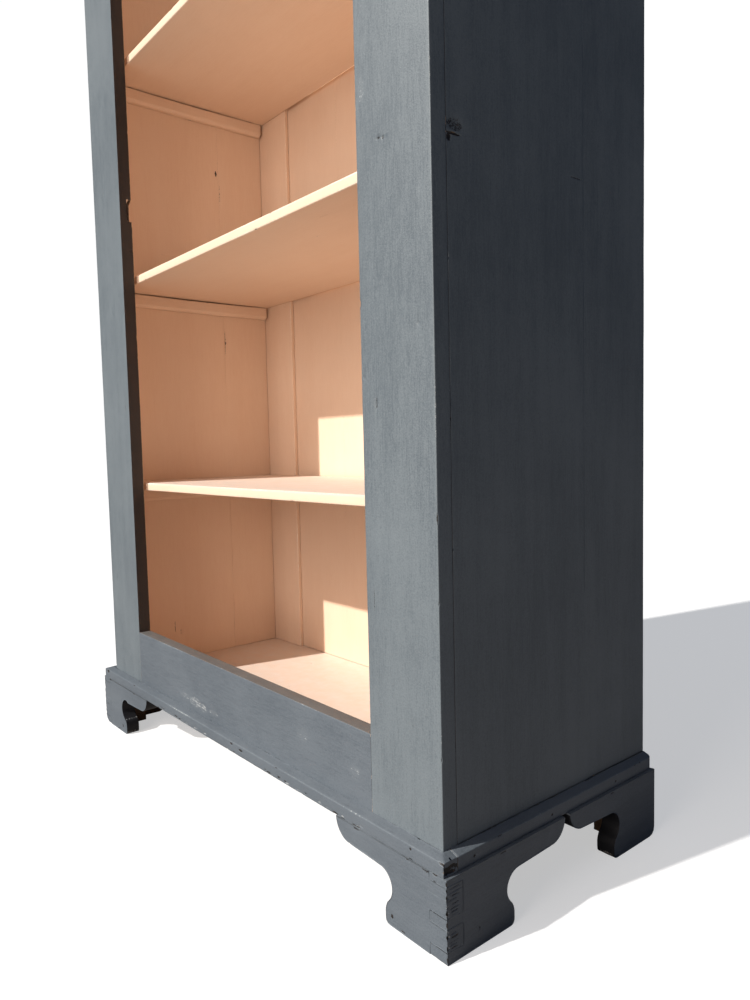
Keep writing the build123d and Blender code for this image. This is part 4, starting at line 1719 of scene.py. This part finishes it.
@dataclass
class Back:
    """The framed back: two rebated stiles, four thin boards and three rails behind."""

    lap: float = 8 * MM
    lip: float = 8 * MM

    def build(self) -> list[bpy.types.Object]:
        """Make the stiles, the boards and the rails.

        Returns:
            The pieces.
        """
        made = []
        skins = {Side.FRONT: Coat.SALMON}
        for hand, sign in (("left", -1.0), ("right", 1.0)):
            node = f"back_stile_{hand}"
            low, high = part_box(node)
            outer, inner = (high.x, low.x) if sign > 0 else (low.x, high.x)
            step_x, step_y = inner + sign * self.lap, low.y + self.lip
            corners = [Corner(outer, low.y, 0.6 * MM), Corner(outer, high.y), Corner(step_x, high.y, 0.6 * MM),
                       Corner(step_x, step_y, 0.0), Corner(inner, step_y, 0.5 * MM), Corner(inner, low.y, 1.4 * MM)]
            sides = {**skins, inner_side(sign): Coat.SALMON}
            made.append(Timber(f"{node}_timber", node, corners, 2, (low.z, high.z), Grain.UPRIGHT, sides,
                               slot="inside_paint").build())
        for number in range(1, 5):
            made.append(plain_board(f"back_board_{number}", Grain.UPRIGHT, skins, slot="inside_paint",
                                    ease=0.35 * MM, nicks=1, tight=(Side.LEFT, Side.RIGHT)).build())
        for level in ("bottom", "middle", "top"):
            made.append(plain_board(f"back_rail_{level}", Grain.ACROSS, {}, slot="bare_pine", ease=1.6 * MM).build())
        return made


@dataclass
class Shelving:
    """Three loose shelves and the cleats that they rest on."""

    dip: float = 0.3 * MM
    upper_face: float = 4 * MM
    snug: float = 2.6 * MM
    hollow: float = 2.2 * MM
    chamfer: float = 5 * MM

    def build(self) -> list[bpy.types.Object]:
        """Make the shelves and the cleats.

        Returns:
            The pieces.
        """
        made = []
        for number in (1, 2, 3):
            made.append(self.shelf(number))
            for hand in ("left", "right"):
                made.append(self.cleat(number, hand))
        return made

    def shelf(self, number: int) -> bpy.types.Object:
        """Make one shelf, thin, a little bowed and with well eased front arrises.

        Args:
            number: which shelf, from the bottom.

        Returns:
            The piece.
        """
        node = f"shelf_{number}"
        low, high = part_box(node)
        skins = {side: Coat.SALMON for side in Side}
        high.y += self.snug
        corners = [Corner(low.y, low.z, 2.0 * MM), Corner(high.y, low.z, 1.0 * MM), Corner(high.y, high.z, 1.0 * MM),
                   Corner(low.y, high.z, 2.6 * MM)]
        marks = {
            1: [(-0.20, 1.6, 7), (0.11, 1.4, 5)],
            2: [(0.05, 1.6, 6), (-0.33, 1.8, 5)],
            3: [(-0.12, 1.5, 8), (0.28, 1.6, 5)],
        }[number]
        knocks = [Knock((x, low.y, high.z), (long * MM, wide * MM, wide * MM), 0.7 * MM, bare=0.35)
                  for x, wide, long in marks]
        if number == 2:
            knocks += [Knock((x, y, low.z), (20 * MM, 0.9 * MM, 1 * MM), 0.3 * MM, bare=0.35)
                       for x, y in ((0.18, -0.11), (0.10, -0.06), (0.24, -0.09))]

        def bowed(points: np.ndarray, start: float, end: float) -> np.ndarray:
            """Dip the shelf's upper face a little between its cleats.

            Args:
                points: the shelf's points.
                start: its left end.
                end: its right end.

            Returns:
                The points, lowest in the middle.
            """
            points = points.copy()
            share = (points[:, 0] - start) / (end - start)
            on_top = points[:, 2] > low.z + self.upper_face
            points[:, 2] -= self.dip * np.sin(math.pi * share) * on_top
            return points

        return Timber(f"{node}_timber", node, corners, 0, (low.x, high.x), Grain.ACROSS, skins, body=node,
                      slot="inside_paint", knocks=knocks, nicks=5, uneven=0.5 * MM, shaped=bowed).build()

    def cleat(self, number: int, hand: str) -> bpy.types.Object:
        """Make one cleat, with its lower arris taken off and its top planed a little hollow.

        Args:
            number: which shelf it holds.
            hand: left or right.

        Returns:
            The piece.
        """
        node = f"cleat_{number}_{hand}"
        low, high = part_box(node)
        sign = hand_of(hand)
        wall, face = (high.x, low.x) if sign > 0 else (low.x, high.x)
        cut = self.chamfer
        corners = [Corner(wall, low.z, 0.4 * MM), Corner(wall, high.z, 0.4 * MM), Corner(face, high.z, 1.2 * MM),
                   Corner(face, low.z + cut, 0.7 * MM), Corner(face + sign * cut, low.z, 0.7 * MM)]

        def hollowed(points: np.ndarray, start: float, end: float) -> np.ndarray:
            """Dip the cleat's top between its ends.

            Args:
                points: the cleat's points.
                start: its front end.
                end: its back end.

            Returns:
                The points, hollow in the middle.
            """
            points = points.copy()
            share = np.clip((points[:, 1] - start) / (end - start), 0.0, 1.0)
            weight = np.clip((points[:, 2] - low.z) / (high.z - low.z), 0.0, 1.0) ** 2
            points[:, 2] -= self.hollow * weight * np.sin(math.pi * share) ** 0.8
            return points

        skins = {side: Coat.SALMON for side in Side}
        return Timber(f"{node}_timber", node, corners, 1, (low.y, high.y), Grain.BACKWARDS, skins,
                      slot="inside_paint", nicks=4, step=14 * MM, shaped=hollowed).build()


@dataclass
class Cornice:
    """The moulded cornice round the top, mitred at its front corners."""

    foot: Point2 = (4 * MM, 7 * MM)
    cove: Point2 = (17 * MM, 30 * MM)
    fillet: float = 3 * MM
    ovolo: Point2 = (31 * MM, 52 * MM)

    def profile(self, depth: float, height: float) -> list[Corner]:
        """Draw the section: u runs outwards from the carcass and v up from the foot.

        Args:
            depth: how far it stands out.
            height: how high it is.

        Returns:
            The corners.
        """
        cove, ovolo = self.cove, self.ovolo
        step = (cove[0] + self.fillet, cove[1] + self.fillet)
        shape = [Corner(0.0, height, 0.3 * MM), Corner(0.0, 0.0, 0.3 * MM), Corner(self.foot[0], 0.0, 0.7 * MM),
                 Corner(*self.foot, 0.4 * MM)]
        shape += curve(self.foot, (self.foot[0] + 3.4 * MM, cove[1] - 7.6 * MM), cove, 8)
        shape += [Corner(*cove, 0.6 * MM), Corner(cove[0], step[1], 0.3 * MM), Corner(*step, 0.6 * MM)]
        shape += curve(step, (ovolo[0] - 2.6 * MM, step[1] + 5.6 * MM), ovolo, 7)
        shape += [Corner(*ovolo, 0.4 * MM), Corner(depth, ovolo[1], 0.8 * MM), Corner(depth, height, 1.5 * MM)]
        return shape

    def build(self) -> list[bpy.types.Object]:
        """Make the three lengths.

        Returns:
            The pieces.
        """
        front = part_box("cornice_front")
        wall, foot = front[1].y, front[0].z
        depth, height = front[1].y - front[0].y, front[1].z - front[0].z
        half = front[1].x - depth
        shape = self.profile(depth, height)
        skins = {side: Coat.SLATE for side in Side}
        corners = [Corner(wall - c.u, foot + c.v, c.ease) for c in shape]

        def mitred(section: np.ndarray) -> tuple[np.ndarray, np.ndarray]:
            """Lengthen the front run by as much as each point stands out."""
            out = wall - section[:, 0]
            return -(half + out), half + out

        made = [Timber("cornice_front_timber", "cornice_front", corners, 0, (front[0].x, front[1].x), Grain.ACROSS,
                       skins, step=20 * MM, cap_step=9 * MM, end_ease=0.25 * MM, ends=mitred).build()]
        for hand, sign in (("left", -1.0), ("right", 1.0)):
            node = f"cornice_{hand}"
            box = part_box(node)
            rear = box[1].y
            corners = [Corner(sign * (half + c.u), foot + c.v, c.ease) for c in shape]

            def returned(section: np.ndarray, sign: float = sign, rear: float = rear) -> tuple[np.ndarray, np.ndarray]:
                """Start each point of the side run at the mitre."""
                out = sign * section[:, 0] - half
                return wall - out, np.full(len(section), rear)

            made.append(Timber(f"{node}_timber", node, corners, 1, (box[0].y, rear), Grain.BACKWARDS, skins,
                               step=20 * MM, cap_step=9 * MM, end_ease=0.25 * MM, ends=returned).build())
        return made


@dataclass
class Fixings:
    """The nails and screws, each head turned a little domed and sunk."""

    sides: int = 20

    def turned(self, centre: Vector, inwards: Vector, profile: list[Point2], slot: float) -> tuple[list, list]:
        """Turn one fixing round its axis.

        Args:
            centre: the middle of its head's face.
            inwards: the way that it is driven.
            profile: radius and depth of each ring, from the head in.
            slot: half the width of the driver's slot, or 0.

        Returns:
            Its points and faces.
        """
        side = inwards.orthogonal().normalized()
        up = inwards.cross(side)
        points, faces = [], []
        for radius, depth in profile:
            for index in range(self.sides):
                angle = math.tau * (index + 0.5) / self.sides
                u, v = radius * math.cos(angle), radius * math.sin(angle)
                sunk = depth
                if slot and depth < 1.1 * MM and index % (self.sides // 2) in (0, self.sides // 2 - 1):
                    v = math.copysign(slot, v)
                    u = math.copysign(math.sqrt(max(radius * radius - v * v, 0.0)), u)
                    sunk = depth + 0.9 * MM
                elif slot and depth < 1.1 * MM:
                    v = math.copysign(max(abs(v), slot * 1.15), v)
                points.append(centre + side * u + up * v + inwards * sunk)
        rings = len(profile)
        for ring in range(rings - 1):
            for index in range(self.sides):
                ahead = (index + 1) % self.sides
                a, b = ring * self.sides, (ring + 1) * self.sides
                faces.append((a + index, a + ahead, b + ahead, b + index))
        faces.append(tuple(range(self.sides)))
        faces.append(tuple(range((rings - 1) * self.sides, rings * self.sides)))
        return points, faces

    def group(self, node: str, profile: list[Point2], slot: float, head: float, coat: Coat) -> bpy.types.Object:
        """Make every fixing of a CAD node as one piece.

        Args:
            node: the CAD node.
            profile: the turned outline.
            slot: half the width of the driver's slot, or 0.
            head: how far the head is sunk.
            coat: what covers it.

        Returns:
            The piece.
        """
        points: list[Vector] = []
        faces: list[tuple] = []
        for low, high in loose_boxes(node):
            size, middle = high - low, (low + high) / 2
            axis = max(range(3), key=lambda a: size[a])
            inwards = Vector((0, 0, 0))
            outside = middle[axis] > 0
            inwards[axis] = -1.0 if outside else 1.0
            if node == "cleat_nails":
                inwards = -inwards
            centre = middle.copy()
            centre[axis] = low[axis] if inwards[axis] > 0 else high[axis]
            made, skin = self.turned(centre + inwards * head, inwards, profile, slot)
            base = len(points)
            points += made
            faces += [tuple(base + i for i in face) for face in skin]
        mesh = bpy.data.meshes.new(f"{node}_heads")
        mesh.from_pydata([tuple(p) for p in points], [], faces)
        tidy_mesh(mesh)
        mesh.materials.append(coat_material(coat, Grain.UPRIGHT))
        piece = bpy.data.objects.new(f"{node}_heads", mesh)
        bpy.context.scene.collection.objects.link(piece)
        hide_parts(node)
        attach(piece, "carcass")
        return piece

    def build(self) -> list[bpy.types.Object]:
        """Make the cleat nails, the moulding nails and the back screws.

        Returns:
            The pieces.
        """
        def nail(length: float) -> list[Point2]:
            """Give a nail's turned outline."""
            return [(0.5 * MM, 0.0), (1.5 * MM, 0.05 * MM), (2.0 * MM, 0.25 * MM), (2.2 * MM, 0.6 * MM),
                    (2.0 * MM, 1.0 * MM), (1.1 * MM, 1.2 * MM), (1.1 * MM, length - 3 * MM), (0.2 * MM, length)]

        screw = [(0.9 * MM, 0.0), (2.2 * MM, 0.0), (3.6 * MM, 0.1 * MM), (4.0 * MM, 0.45 * MM), (3.8 * MM, 1.2 * MM),
                 (1.8 * MM, 3.0 * MM), (1.8 * MM, 17 * MM), (0.3 * MM, 21 * MM)]
        return [
            self.group("cleat_nails", nail(27 * MM), 0.0, 0.3 * MM, Coat.SALMON),
            self.group("moulding_nails", nail(41 * MM), 0.0, 0.35 * MM, Coat.SLATE),
            self.group("back_screws", screw, 0.5 * MM, 0.1 * MM, Coat.STEEL),
        ]


# ------------------------------------------------------------------ studio
@dataclass
class Studio:
    """The pale floor, the soft lights and the camera."""

    camera_at: Point3 = (1.0098, -0.7135, 0.5404)
    yaw: float = -50.443
    pitch: float = -4.082
    roll: float = -1.343
    lens: float = 27.15
    key_travel: Point3 = (0.22, 1.0, -0.735)
    key_strength: float = 4.75
    key_softness: float = 1.0
    key_colour: Point3 = (1.0, 0.965, 0.91)
    fill_at: Point3 = (0.6, -2.8, 1.2)
    fill_aim: Point3 = (0.0, 0.0, 0.75)
    fill_size: Point2 = (1.4, 2.0)
    fill_colour: Point3 = (1.0, 0.88, 0.78)
    fill_strength: float = 43.0
    sky: Point3 = (0.026, 0.048, 0.094)
    sky_strength: float = 1.0
    backdrop: float = 1.02
    floor_glow: float = 0.5
    floor_reach: float = 60.0
    floor_pale: Colour = (0.62, 0.62, 0.62, 1.0)
    floor_bounce: Colour = (0.31, 0.29, 0.275, 1.0)

    def lamp(self, name: str, kind: str, at: Point3, travel: Vector, strength: float) -> bpy.types.Light:
        """Add one lamp.

        Args:
            name: its name.
            kind: SUN or AREA.
            at: where it stands.
            travel: the way that its light goes.
            strength: how strong it is.

        Returns:
            The lamp's data.
        """
        light = bpy.data.lights.new(name, kind)
        light.energy = strength
        lamp = bpy.data.objects.new(name, light)
        lamp.location = at
        lamp.rotation_mode = "QUATERNION"
        lamp.rotation_quaternion = travel.to_track_quat("-Z", "Y")
        bpy.context.scene.collection.objects.link(lamp)
        return light

    def lights(self) -> None:
        """Add the soft key and the broad front fill."""
        key = self.lamp("soft_key", "SUN", (-1.0, -4.0, 3.0), Vector(self.key_travel), self.key_strength)
        key.angle = math.radians(self.key_softness)
        key.color = self.key_colour
        travel = Vector(self.fill_aim) - Vector(self.fill_at)
        fill = self.lamp("front_fill", "AREA", self.fill_at, travel, self.fill_strength)
        fill.shape = "RECTANGLE"
        fill.size, fill.size_y = self.fill_size
        fill.color = self.fill_colour

    def world(self) -> None:
        """Show a pale backdrop and light the room dimly."""
        world = bpy.data.worlds.new("pale_room")
        bpy.context.scene.world = world
        world.use_nodes = True
        wiring = Wiring(world.node_tree)
        world.node_tree.nodes.clear()
        seen = wiring.add("Background", {0: (self.backdrop,) * 3 + (1.0,), 1: 1.0})
        dim = wiring.add("Background", {0: self.sky + (1.0,), 1: self.sky_strength})
        straight = wiring.add("LightPath").outputs["Is Camera Ray"]
        mixed = wiring.add("MixShader", {0: straight, 1: dim.outputs[0], 2: seen.outputs[0]})
        wiring.add("OutputWorld", {0: mixed.outputs[0]})

    def floor(self) -> bpy.types.Object:
        """Lay the plain pale floor.

        Returns:
            The floor.
        """
        mesh = bpy.data.meshes.new("studio_floor")
        reach = self.floor_reach
        mesh.from_pydata([(-reach, -reach, 0), (reach, -reach, 0), (reach, reach, 0), (-reach, reach, 0)], [],
                         [(0, 1, 2, 3)])
        material = bpy.data.materials.new("pale floor")
        material.use_nodes = True
        wiring = Wiring(material.node_tree)
        material.node_tree.nodes.clear()
        pale = wiring.add("BsdfDiffuse", {0: self.floor_pale})
        glow = wiring.add("Emission", {0: (1.0, 1.0, 1.0, 1.0), 1: self.floor_glow})
        bright = wiring.add("AddShader", {0: pale.outputs[0], 1: glow.outputs[0]})
        grey = wiring.add("BsdfDiffuse", {0: self.floor_bounce})
        straight = wiring.add("LightPath").outputs["Is Camera Ray"]
        mixed = wiring.add("MixShader", {0: straight, 1: grey.outputs[0], 2: bright.outputs[0]})
        wiring.add("OutputMaterial", {0: mixed.outputs[0]})
        mesh.materials.append(material)
        floor = bpy.data.objects.new("studio_floor", mesh)
        bpy.context.scene.collection.objects.link(floor)
        return floor

    def camera(self) -> bpy.types.Object:
        """Stand the camera low, in front of the right corner.

        Returns:
            The camera.
        """
        data = bpy.data.cameras.new("camera")
        data.lens, data.sensor_width, data.sensor_fit = self.lens, 36.0, "AUTO"
        data.clip_start, data.clip_end = 0.02, 200.0
        yaw, pitch, roll = (math.radians(a) for a in (self.yaw, self.pitch, self.roll))
        ahead = Vector((math.sin(yaw) * math.cos(pitch), math.cos(yaw) * math.cos(pitch), math.sin(pitch)))
        level = Vector((math.cos(yaw), -math.sin(yaw), 0.0))
        above = level.cross(ahead)
        right = level * math.cos(roll) + above * math.sin(roll)
        up = above * math.cos(roll) - level * math.sin(roll)
        turn = Matrix((right, up, -ahead)).transposed().to_4x4()
        camera = bpy.data.objects.new("camera", data)
        camera.matrix_world = Matrix.Translation(Vector(self.camera_at)) @ turn
        bpy.context.scene.collection.objects.link(camera)
        bpy.context.scene.camera = camera
        return camera

    def build(self) -> None:
        """Set up the floor, the lights, the backdrop and the camera."""
        self.floor()
        self.lights()
        self.world()
        self.camera()
        bpy.context.scene.view_settings.view_transform = "Standard"


def main() -> None:
    """Build the bookcase, one sub-assembly after another, and then the studio."""
    logging.basicConfig(level=logging.INFO, format="%(message)s")
    for assembly in (Carcass(), FaceFrame(), Base(), Back(), Shelving(), Cornice(), Fixings()):
        for piece in assembly.build():
            LOG.info("%s: %s, %d points", type(assembly).__name__, piece.name, len(piece.data.vertices))
    Studio().build()


if __name__ == "__main__":
    main()
